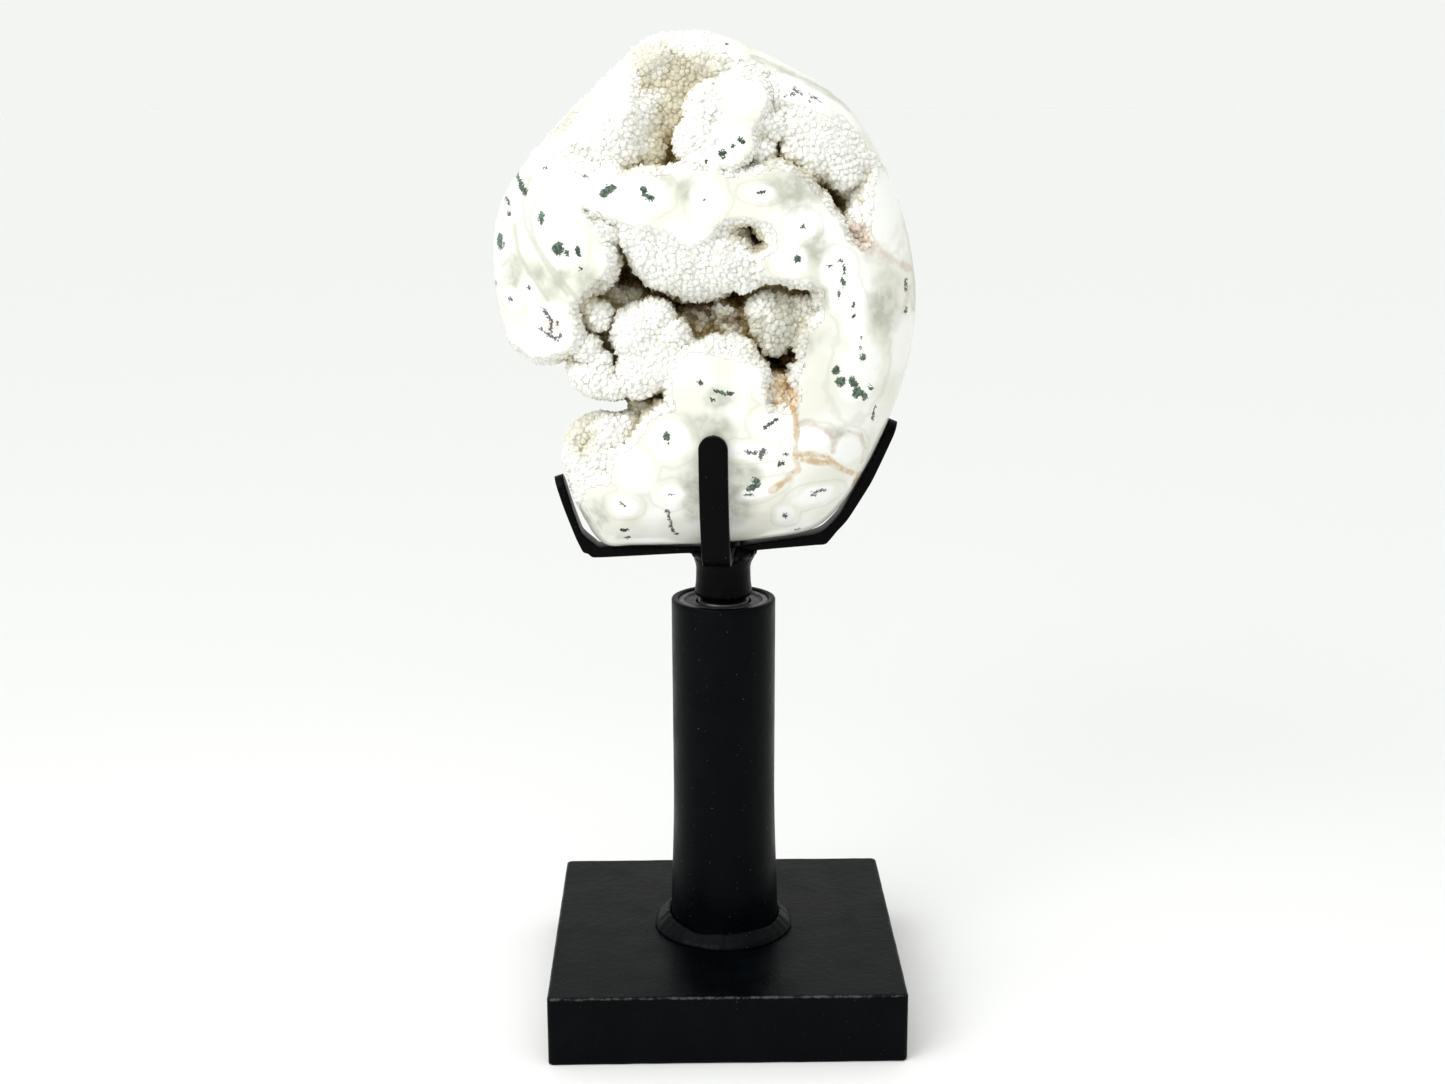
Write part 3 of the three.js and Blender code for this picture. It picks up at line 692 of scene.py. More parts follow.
MOSS_DOTS = [
    Blot(-54.3, 239.3, 0.9, 2.9, -0.35), Blot(-58.3, 234.7, 0.6, 1.2, -0.3), Blot(-57.7, 231.5, 0.6, 0.8),
    Blot(-60.3, 224.1, 1.0, 2.0, 0.25), Blot(-62.7, 212.1, 0.5, 1.3), Blot(-52.1, 212.6, 0.5, 0.5),
    Blot(-57.5, 209, 0.55, 0.6), Blot(-48.5, 230.8, 0.9, 1.4), Blot(-44, 223.3, 1.7, 1.7, 0.6),
    Blot(-41.6, 221.9, 0.7, 0.7), Blot(-38.6, 222.4, 0.6, 1.2, -0.6), Blot(-38.2, 217.7, 0.5, 0.6),
    Blot(-47.5, 243.4, 0.35, 0.45), Blot(-38.6, 242.7, 0.8, 0.25), Blot(-36.3, 241.9, 0.9, 0.3, 0.4),
    Blot(-30.7, 238, 1.9, 1.4, -0.3), Blot(-20.9, 238.4, 1.1, 0.9), Blot(-19.9, 236.8, 1.5, 1.1, 0.3),
    Blot(-5.1, 235.7, 0.3, 0.3), Blot(9.9, 237.7, 1.3, 0.45, 0.2), Blot(20.8, 228.8, 0.7, 0.6), Blot(19.4, 220.2, 0.8, 0.9),
    Blot(-4.4, 245.8, 0.5, 0.45), Blot(-0.2, 247.4, 0.9, 0.9), Blot(2.5, 249.6, 0.6, 0.4, 0.2),
    Blot(4.9, 251.4, 1.1, 0.7, 0.7), Blot(1.2, 275.8, 0.5, 0.4), Blot(4.9, 271.5, 0.5, 0.35),
    Blot(18.6, 262.6, 0.6, 0.5), Blot(16.5, 262.2, 0.4, 0.35), Blot(23.1, 260.9, 0.4, 0.3),
    Blot(28.3, 218.2, 0.7, 0.5), Blot(30.9, 219.5, 1.0, 0.4, -0.3), Blot(32, 217.4, 0.4, 1.2), Blot(31.6, 213.6, 0.55, 1.5, 0.1),
    Blot(30.6, 210.6, 0.5, 0.9), Blot(34.3, 207.7, 0.5, 0.8), Blot(34.5, 204.9, 0.5, 0.6), Blot(36.9, 198.9, 0.4, 0.5),
    Blot(36.8, 196.2, 0.35, 0.6), Blot(37.3, 193.4, 0.6, 1.1, 0.3),
    Blot(30.2, 190.3, 1.1, 1.0), Blot(31.4, 187.3, 1.2, 1.5, 0.5), Blot(34.9, 186.6, 1.1, 1.6, -0.4),
    Blot(36.2, 183.8, 1.3, 1.4), Blot(37.9, 182.5, 1.2, 0.9), Blot(39.9, 184.9, 1.1, 0.4, 0.5),
    Blot(41.3, 177.4, 0.4, 3.0, 0.1), Blot(-6.4, 187.3, 0.7, 0.6), Blot(-1.4, 184.8, 1.6, 0.5, 0.4),
    Blot(-3.3, 182.9, 1.0, 0.4), Blot(1.2, 184.6, 0.9, 0.6),
    Blot(-15.6, 172.8, 1.2, 1.0), Blot(-15.2, 170.6, 0.4, 0.4), Blot(12.5, 176.1, 2.1, 0.6, -0.5),
    Blot(15.4, 164.5, 0.8, 0.6), Blot(16.8, 167.2, 0.6, 0.4), Blot(7.8, 158.2, 2.0, 1.0, -0.6), Blot(8.6, 159.9, 1.6, 0.6),
    Blot(6.3, 155.8, 1.4, 0.35), Blot(-27.8, 153.3, 0.9, 0.35, 0.5), Blot(-14.5, 156.3, 0.5, 0.35),
    Blot(-28, 145.1, 1.1, 0.7), Blot(-26.8, 141.9, 0.9, 0.5), Blot(20.4, 143.6, 1.2, 0.5),
]
SLATE_MARKS = [
    Blot(-47.2, 205.3, 0.55, 2.3, -0.35), Blot(-46.4, 202.2, 0.5, 1.6, 0.2), Blot(-48.9, 201.4, 0.6, 0.5),
    Blot(-46.9, 199.9, 1.8, 0.45, 0.3), Blot(-44.3, 199.5, 1.5, 0.45, -0.3), Blot(-44.4, 203.1, 0.35, 0.9, -0.3),
    Blot(20, 263.5, 2.6, 0.28, 0.3), Blot(24.6, 261.6, 2.4, 0.28, 0.55),
    Blot(6.5, 168.2, 1.1, 0.6), Blot(8.3, 168, 0.7, 0.55), Blot(10.6, 168.2, 1.0, 0.8, -0.6), Blot(10, 166.8, 0.7, 0.8),
    Blot(26.4, 156, 2.0, 0.45, -0.2), Blot(24.6, 155.1, 0.6, 0.4), Blot(16.9, 148.9, 0.8, 0.8),
    Blot(-16.2, 151, 0.6, 0.5), Blot(-15.4, 149.4, 0.5, 1.6, -0.1), Blot(-14.6, 145.9, 0.5, 2.2, -0.25), Blot(-13.4, 143.4, 0.9, 0.4),
    Blot(49.9, 211.8, 0.5, 1.6, 0.1), Blot(49.7, 205, 0.45, 1.3, 0.1), Blot(26.8, 142.4, 0.8, 0.6),
]
IRON_VEINS = [
    Blot(16, 184, 3.2, 3.0), Blot(37.4, 157.2, 1.4, 2.2, 0.5), Blot(3.9, 168.2, 0.6, 0.5),
    Thread(((14.5, 187), (16.6, 182.6), (19.1, 179.2), (19.5, 174.2), (19.2, 167.3), (20.3, 162.9)), 0.8),
    Thread(((20.3, 162.9), (16.8, 160), (13.1, 157.1)), 1.1), Thread(((21.5, 165.6), (25, 165), (29, 164)), 1.0),
    Thread(((20.5, 167.3), (24.2, 167.2), (28.5, 165.8), (32.1, 162.2), (36.4, 159.3)), 0.8),
]
ROSE_VEINS = [
    Blot(-46.6, 202.4, 2.2, 2.6), Blot(36.4, 225.3, 1.2, 1.0),
    Thread(((36, 226.9), (38.1, 223.2), (42.8, 221)), 1.6), Thread(((42.8, 221), (47.3, 218.2), (51.3, 215.8)), 1.1),
    Thread(((50.7, 211.3), (49.3, 204.9)), 0.6),
    Thread(((19.6, 175.8), (22.3, 176.2), (25.3, 175.1), (28.4, 172.9), (30.2, 169.9), (29.6, 167.3)), 0.7),
    Thread(((30.4, 171.5), (33.5, 172.9), (37.5, 171.5), (39, 167), (38.3, 162.6)), 0.6),
]
CLEAR_AND_SHADED_ZONES = [
    Blot(43, 206.5, 4.5, 9, 0.1), Blot(-56.8, 216.5, 3.4, 5.2, 0.2), Blot(-50.5, 215.5, 3, 4.6, 0.5),
    Blot(-43.5, 216, 1.6, 7, 0.6), Blot(-35.8, 213.8, 4, 4), Blot(-36.5, 147, 5.5, 6.5, 0.3), Blot(26.2, 211.8, 3.5, 5),
    Blot(-16.2, 240.8, 3.4, 2.2), Blot(-9.9, 238.5, 2.8, 3.6), Blot(17.6, 238.1, 8, 6), Blot(23.7, 223.3, 4, 5.5),
    Blot(-54.5, 231.7, 1.5, 4), Blot(-44.8, 213, 2.2, 6, 0.6), Blot(-1.4, 182.8, 4.6, 3.4), Blot(6, 162.4, 4.6, 3.2, 0.2),
    Blot(-8.9, 157.2, 3.6, 9), Blot(4.4, 153.3, 4.2, 6), Blot(31, 171, 3, 4, -0.4), Blot(-4, 175.5, 7, 4),
    # Blot(16, 201) on the next line greys the lobe in the gap: partly its own clear quartz, partly painted shade of its
    # deep place
    Blot(16, 201, 9, 7.5), Blot(12.5, 244.8, 3, 1.6, -0.5),
    Thread(((8.1, 272.5), (17.1, 268.6), (27, 263.8), (35.8, 258), (41.7, 250.7)), 0.9),
    Thread(((44.6, 242), (50.4, 229.3), (53.1, 216.8), (53.1, 204.8)), 1.4),
]
LAYER_LINES = [
    Thread(((-51.7, 241.1), (-53.7, 234.9), (-52.8, 228.7), (-49.5, 222.5), (-45.5, 216.2), (-41.5, 210.7)), 0.5),
    Thread(((-49.9, 235.8), (-51.5, 231.1), (-50.3, 224.8), (-46.7, 219.4), (-43.1, 214.7), (-39.1, 209.9)), 0.6),
    Thread(((-56, 229), (-55, 222), (-51.5, 215.5), (-47, 209.5)), 0.5),
]
# Beige in the folds and crevices: partly stain of the hollows, partly painted shade
BEIGE_FOLDS_AND_SHADE = [
    Thread(((-8.9, 267.1), (-12.9, 262.5), (-14.5, 256), (-16, 250), (-18, 246.5)), 3.6), Thread(((-20, 265), (-12, 266), (-10.5, 271)), 2.6),
    Thread(((-36, 206.7), (-32.5, 209.8), (-25.6, 209.3), (-18.7, 208), (-13.2, 204), (-8.8, 200)), 1.5),
    Thread(((5.5, 200), (9.1, 193.8), (12.1, 190.8)), 2.0), Blot(-23.5, 176, 2.6, 3.4),
    Thread(((16, 244.5), (22.4, 239.5), (27, 236.3), (31.3, 233.8)), 3), Blot(40, 243, 2.6, 1.8, 0.5), Blot(37.5, 235.5, 1.6, 3),
    Thread(((-25, 180.4), (-20.1, 180.4), (-16.4, 183.3)), 2.2), Blot(-39, 169.5, 2.6, 4), Blot(-1, 202.5, 9, 3),
    Thread(((-36, 209), (-35.5, 203)), 3.2), Blot(6, 227, 6, 2.6), Blot(9.6, 222.8, 4.2, 3.8), Blot(-41.4, 255.3, 2.4, 1.2, -0.6),
]
# Painted shade: beige-grey laid on flanks that face away from the light
PAINTED_SHADE_FLANKS = [
    Blot(-42, 257.5, 8, 2.6, -0.75), Blot(-19, 272, 7, 5), Blot(-5, 270, 5, 4), Blot(-39, 172, 5, 6),
]
# Painted shade: a near-black tone laid in the deepest pits and gaps, where the hollows fall into shadow
PAINTED_SHADE_PITS = [
    Thread(((-28.5, 214), (-22.9, 214.3), (-17.3, 211.6), (-10.1, 208)), 3.2), Thread(((-10.1, 208), (-3.7, 207.4)), 2.2),
    Blot(2, 207, 6, 2.4), Blot(-5, 203.6, 4.6, 2.2), Blot(3, 202.5, 3, 1.8),
    Blot(16.5, 190.5, 4.8, 4.2, -0.5),
]
# Milk-white halos round the marks, and one blot of painted light on the right flank
MILK_HALOS_AND_LIT_FLANK = [
    Blot(-44, 223.5, 5.6, 5.2), Blot(-49, 231.5, 5.4, 6), Blot(-30.5, 238, 5, 4.5), Blot(-20.5, 237.6, 5.2, 4.6),
    Blot(-52.1, 212.6, 2.5, 3.2), Blot(-57.4, 209, 2.1, 2.6), Blot(-46.6, 202.6, 4.6, 5.4, 0.2), Blot(-60.2, 224, 2.2, 4),
    Blot(-56.5, 236.5, 3.5, 7, -0.4), Blot(9.6, 237.6, 4.2, 2.1, 0.1), Blot(20.8, 228.9, 3.4, 3.3), Blot(17.6, 220, 4.6, 3.4, 0.1),
    Blot(29.8, 216.5, 4, 4.4), Blot(31.5, 210.5, 3.4, 5, -0.2), Blot(35, 203, 3, 9, -0.15), Blot(36.5, 190, 5.5, 9, 0.2),
    Blot(-14.8, 171.6, 5, 5), Blot(12.6, 176.3, 4.6, 3.6, -0.3), Blot(6.6, 168.4, 6, 2.4), Blot(24.6, 171.4, 4.6, 3.2, 0.2), Blot(34.2, 167.4, 3.8, 4.4, -0.4),
    Blot(9.5, 156.8, 6, 2.2, -0.4), Blot(-24.5, 163.6, 4.6, 5), Blot(-27.5, 152.6, 3.6, 3), Blot(-14.6, 156, 3.4, 3.2),
    Blot(25, 154.6, 6, 2.6, -0.2), Blot(16.9, 149, 2.6, 2.6), Blot(1, 275, 4.4, 2.6, 0.5), Blot(22, 261.4, 5.4, 2.2, 0.45),
    # The last blot on the next line is painted light: it whitens the right flank where the lamps leave it grey
    Blot(0.4, 248.6, 6.5, 3.6, -0.7), Blot(-4.5, 236, 4.2, 4.6), Blot(10.4, 187.6, 2.4, 4), Blot(43.8, 233, 5, 9, 0.15),
]


# Soft zones are carried by the mesh's points, because they are many and wider than its faces
SOFT_ZONES = {
    "clear": CLEAR_AND_SHADED_ZONES, "milk": MILK_HALOS_AND_LIT_FLANK, "iron": IRON_VEINS, "rose": ROSE_VEINS, "pit_shade": PAINTED_SHADE_PITS,
    "layer": LAYER_LINES, "beige": BEIGE_FOLDS_AND_SHADE, "flank_shade": PAINTED_SHADE_FLANKS,
}

# Behind this depth every mark shows half a turn round the stone's centre from where it shows in front
MARK_SEAM = 6.0
SEAM_FADE = 9.0
FLAT = 1e6


def nearness_at(points: np.ndarray, marks: Sequence[Blot | Thread]) -> np.ndarray:
    """Distance from each point to the nearest mark, which is 1 at a mark's edge and 3 at most."""
    behind = (points[:, 1] > MARK_SEAM)[:, None]
    place = np.where(behind, 2 * STONE_CENTRE - points[:, [0, 2]], points[:, [0, 2]])
    nearest = np.minimum.reduce([np.full(len(points), 3.0)] + [mark.away(place) for mark in marks])
    return nearest + 3 * np.clip(1 - np.abs(points[:, 1] - MARK_SEAM) / SEAM_FADE, 0, 1)


@dataclass(frozen=True)
class StoneColours:
    """How the agate's colours lie in space, for both the polished stone and its crystals."""

    sketch: NodeSketch

    def place(self) -> bpy.types.NodeSocket:
        """Coordinates in millimetres, made ragged so that marks get natural edges."""
        sketch = self.sketch
        plain = sketch.millimetres()
        depth = sketch.add("ShaderNodeSeparateXYZ", {0: plain}).outputs["Y"]
        behind = sketch.math("GREATER_THAN", depth, MARK_SEAM)
        centre = (2 * STONE_CENTRE[0], 0.0, 2 * STONE_CENTRE[1])
        turned_round = sketch.vector("SUBTRACT", centre, plain)
        place = sketch.add("ShaderNodeMix", {"Factor": behind, "A": plain, "B": turned_round}, data_type="VECTOR")
        coarse = sketch.noise(plain, 0.35, 1.0, 0.5, colour=True)
        fine = sketch.noise(plain, 1.6, 2.0, 0.6, colour=True)
        shifted = sketch.vector("SUBTRACT", coarse, (0.5, 0.5, 0.5))
        rough = sketch.vector("SUBTRACT", fine, (0.5, 0.5, 0.5))
        shift = sketch.vector("ADD", sketch.scaled(shifted, 1.6), sketch.scaled(rough, 2.4))
        return sketch.vector("ADD", next(s for s in place.outputs if s.enabled), shift)

    def nearness(self, place: bpy.types.NodeSocket, blots: Sequence[Blot]) -> bpy.types.NodeSocket:
        """Distance to the nearest blot, which is 1 at a blot's edge.

        Args:
            place: Where to measure.
            blots: The marks.

        Returns:
            The distance as a share of each mark's own size.
        """
        sketch = self.sketch
        frames: dict[Slant, bpy.types.NodeSocket] = {}
        least = None
        for blot in blots:
            slant = blot.slant()
            if slant not in frames:
                wide, high = slant.scale()
                given = {"Vector": place, "Rotation": (0.0, slant.turn(), 0.0), "Scale": (wide, FLAT, high)}
                frames[slant] = sketch.add("ShaderNodeMapping", given, vector_type="TEXTURE").outputs[0]
            across, up = slant.local(blot.x, blot.z)
            away = sketch.vector("DISTANCE", frames[slant], (across, 0.0, up))
            share = sketch.math("MULTIPLY", away, 1 / blot.size())
            least = share if least is None else sketch.math("MINIMUM", least, share)
        depth = sketch.add("ShaderNodeSeparateXYZ", {0: sketch.millimetres()}).outputs["Y"]
        from_seam = sketch.math("ABSOLUTE", sketch.math("SUBTRACT", depth, MARK_SEAM))
        return sketch.math("ADD", least, sketch.step(from_seam, SEAM_FADE, 0.0, 0.0, 3.0))

    def on_points(self, name: str, plain: bpy.types.NodeSocket, ragged: float = 0.3) -> bpy.types.NodeSocket:
        """The nearness of a soft zone, as the mesh carries it on its points.

        Args:
            name: The zone's name.
            plain: Where to measure.
            ragged: How far its edge wanders.

        Returns:
            The nearness, which is about 1 at the zone's edge.
        """
        wander = self.sketch.step(self.sketch.noise(plain, 0.22, 1.5, 0.5), 0.25, 0.75, -ragged, ragged)
        return self.sketch.math("ADD", self.sketch.attribute(name), wander)

    def polished(self) -> bpy.types.NodeSocket:
        """The colour of the polished stone: milk white and clear grey, with moss, slate and iron."""
        sketch, place = self.sketch, self.place()
        plain = sketch.millimetres()
        milk = self.on_points("milk", plain, 0.15)
        halo = sketch.step(milk, 1.35, 0.75)
        open_milk = sketch.step(sketch.noise(plain, 0.07, 1.5, 0.5), 0.38, 0.66, 0.0, 0.9)
        tone = sketch.mix(sketch.math("MAXIMUM", halo, open_milk), MarkTone.CREAM.value, MarkTone.MILK.value)
        clear = sketch.step(self.on_points("clear", plain, 0.2), 1.5, 0.3)
        veil = sketch.step(sketch.noise(plain, 0.28, 4.0, 0.6), 0.35, 0.65, 0.5, 1.0)
        clear = sketch.math("MULTIPLY", sketch.math("MULTIPLY", clear, veil), sketch.math("SUBTRACT", 1.0, halo))
        tone = sketch.mix(clear, tone, MarkTone.CLEAR.value)
        rind = sketch.step(sketch.math("ABSOLUTE", sketch.math("SUBTRACT", milk, 1.6)), 0.22, 0.0, 0.0, 0.25)
        layers = sketch.step(self.on_points("layer", plain, 0.15), 1.9, 0.4, 0.0, 0.65)
        tone = sketch.mix(sketch.math("MAXIMUM", rind, layers), tone, MarkTone.CLEAR.value)
        threads = sketch.step(sketch.noise(plain, 0.5, 3.0, 0.6), 0.35, 0.6, 0.35, 0.85)
        veins = sketch.step(self.on_points("iron", plain, 0.35), 1.35, 0.45)
        tone = sketch.mix(sketch.math("MULTIPLY", veins, threads), tone, MarkTone.IRON.value)
        rose = sketch.step(self.on_points("rose", plain, 0.5), 1.6, 0.2, 0.0, 0.6)
        tone = sketch.mix(sketch.math("MULTIPLY", rose, threads), tone, MarkTone.ROSE.value)
        slate = sketch.step(self.nearness(place, SLATE_MARKS), 1.2, 0.85)
        tone = sketch.mix(sketch.math("MULTIPLY", slate, 0.9), tone, MarkTone.SLATE.value)
        mottle = sketch.step(sketch.noise(plain, 1.1, 2.0), 0.45, 0.62)
        green = sketch.mix(mottle, MarkTone.MOSS.value, MarkTone.MOSS_PALE.value)
        moss = sketch.step(self.nearness(place, MOSS_DOTS), 1.2, 0.9, 0.0, 0.96)
        return sketch.mix(moss, tone, green)

    def stained_and_shaded(self, fresh: Colour) -> bpy.types.NodeSocket:
        """The colour of druzy quartz: fresh and pale outside, beige and brown deep down, partly iron stain and partly
        painted shade.

        Args:
            fresh: The colour of clean crystals.

        Returns:
            The colour, which reads the surface's depth under the polish, weighted by how enclosed each point is.
        """
        sketch = self.sketch
        plain = sketch.millimetres()
        depth = sketch.attribute("recess")
        uneven = sketch.math("MULTIPLY", sketch.step(sketch.noise(plain, 0.12, 3.0), 0.3, 0.7, -1.0, 1.0), 4.0)
        deep = sketch.math("ADD", depth, uneven)
        grey = sketch.step(sketch.noise(plain, 0.2, 2.0), 0.45, 0.7, 0.0, 0.45)
        tone = sketch.mix(grey, fresh, (0.8, 0.79, 0.71))
        # Clear zones grey the crystals: partly clear quartz, partly painted shade on the deep lobe in the gap
        clear = sketch.step(self.on_points("clear", plain), 1.3, 0.6, 0.0, 0.9)
        tone = sketch.mix(clear, tone, (0.53, 0.52, 0.43))
        # Painted light: shallow crystals next to the polish are whitened against their own shade
        tone = sketch.mix(sketch.step(depth, 1.4, 0.5, 0.0, 0.3), tone, (0.95, 0.94, 0.88))
        # Painted shade, over the stain of the hollows: deeper and more enclosed places turn beige
        tone = sketch.mix(sketch.step(deep, 4.0, 11.0), tone, (0.81, 0.775, 0.65))
        # Painted shade on the flanks that face away from the light
        flank_shade = sketch.step(self.on_points("flank_shade", plain), 1.5, 0.5, 0.0, 0.9)
        tone = sketch.mix(flank_shade, tone, (0.72, 0.69, 0.57))
        # Beige folds, only below the polish: partly stain, partly painted shade
        beige = sketch.step(self.on_points("beige", plain), 1.4, 0.4)
        tone = sketch.mix(sketch.math("MULTIPLY", beige, sketch.step(depth, 0.3, 2.5)), tone, (0.66, 0.61, 0.46))
        # Painted shade: the deepest places turn dark brown
        tone = sketch.mix(sketch.step(deep, 10.0, 17.0), tone, (0.34, 0.25, 0.1))
        # Painted shade: near black in the deepest pits
        pit_shade = sketch.step(self.on_points("pit_shade", plain), 1.4, 0.6)
        tone = sketch.mix(sketch.math("MULTIPLY", pit_shade, sketch.step(depth, 3.0, 9.0)), tone, (0.1, 0.05, 0.008))
        patchy = sketch.step(sketch.noise(plain, 0.5, 3.0, 0.6), 0.35, 0.65, 0.45, 0.95)
        iron = sketch.step(self.on_points("iron", plain), 1.8, 0.6)
        tone = sketch.mix(sketch.math("MULTIPLY", iron, patchy), tone, (0.6, 0.38, 0.15))
        rose = sketch.step(self.on_points("rose", plain), 2.4, 0.8)
        return sketch.mix(sketch.math("MULTIPLY", rose, patchy), tone, (0.6, 0.43, 0.33))


@dataclass(frozen=True)
class PolishedAgate:
    """Milky agate with a high polish, and its rough druzy ground where the polish ends."""

    name: str = "polished_agate"

    def material(self) -> bpy.types.Material:
        """Builds the stone."""
        material, sketch, shader = new_material(self.name)
        colours = StoneColours(sketch)
        druzy = sketch.step(sketch.attribute("druzy"), 0.35, 0.65)
        sketch.feed(shader, "Base Color", sketch.mix(druzy, colours.polished(), colours.stained_and_shaded((0.97, 0.96, 0.88))))
        place = sketch.millimetres()
        smear = sketch.step(sketch.noise(place, 0.15, 3.0), 0.35, 0.7, 0.05, 0.13)
        sketch.feed(shader, "Roughness", sketch.math("ADD", smear, sketch.math("MULTIPLY", druzy, 0.4)))
        sugar = sketch.math("MULTIPLY", sketch.noise(place, 1.5, 3.0, 0.7), druzy)
        sketch.feed(shader, "Normal", sketch.bump(sugar, 0.0012, 0.7))
        shader.inputs["IOR"].default_value = 1.54
        shader.inputs["Subsurface Weight"].default_value = 0.25
        shader.inputs["Subsurface Radius"].default_value = (1.0, 0.9, 0.7)
        shader.inputs["Subsurface Scale"].default_value = 0.0015
        return material


@dataclass(frozen=True)
class DruzyQuartz:
    """Small sugary quartz crystals, milky at the root and glassy on their faces."""

    name: str = "druzy_quartz"

    def material(self) -> bpy.types.Material:
        """Builds the crystals' quartz."""
        material, sketch, shader = new_material(self.name)
        tone = StoneColours(sketch).stained_and_shaded((0.985, 0.975, 0.905))
        sketch.feed(shader, "Base Color", tone)
        place = sketch.millimetres()
        sketch.feed(shader, "Roughness", sketch.step(sketch.noise(place, 0.9, 2.0), 0.35, 0.7, 0.2, 0.45))
        shader.inputs["IOR"].default_value = 1.54
        sketch.feed(shader, "Normal", sketch.facing("soft_facing"))
        shader.inputs["Subsurface Weight"].default_value = 0.35
        shader.inputs["Subsurface Radius"].default_value = (1.0, 0.95, 0.75)
        shader.inputs["Subsurface Scale"].default_value = 0.0006
        return material


@dataclass(frozen=True)
class PaleFloor:
    """The plain pale surface that the stand is on, its colour painted with a pool of light: lighter in front of the
    stand, greyer far off.
    """

    name: str = "pale_floor"
    near: Colour = (0.8, 0.8, 0.8)
    far: Colour = (0.683, 0.687, 0.68)
    middle: tuple[float, float, float] = (-80.0, -250.0, 0.0)
    reach: tuple[float, float] = (150.0, 600.0)

    def material(self) -> bpy.types.Material:
        """Builds the floor's finish."""
        material, sketch, shader = new_material(self.name)
        # Painted light: a pool of light round the middle, fading out over the reach
        away = sketch.vector("DISTANCE", sketch.millimetres(), self.middle)
        light_pool_falloff = sketch.step(away, *self.reach)
        sketch.feed(shader, "Base Color", sketch.mix(light_pool_falloff, self.near, self.far))
        shader.inputs["Roughness"].default_value = 0.6
        shader.inputs["Specular IOR Level"].default_value = 0.0
        return material


@dataclass
class Part:
    """What every sub-assembly shares: handing its pieces to the frame."""

    made: list[str] = field(default_factory=list)

    def hand_over(
        self, piece: bpy.types.Object, body: Body, slot: Slot, material: bpy.types.Material, *nodes: str
    ) -> bpy.types.Object:
        """Gives a piece its finish and its place in the frame.

        Args:
            piece: The finished mesh.
            body: The body it rides on.
            slot: The record's material slot; not used.
            material: Its finish.
            nodes: The CAD nodes that it stands for.

        Returns:
            The piece.
        """
        piece.data.materials.clear()
        piece.data.materials.append(material)
        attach(piece, body.value)
        if nodes:
            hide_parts(*nodes)
        self.made.append(piece.name)
        LOG.info("%s: %d triangles", piece.name, sum(len(face.vertices) - 2 for face in piece.data.polygons))
        return piece


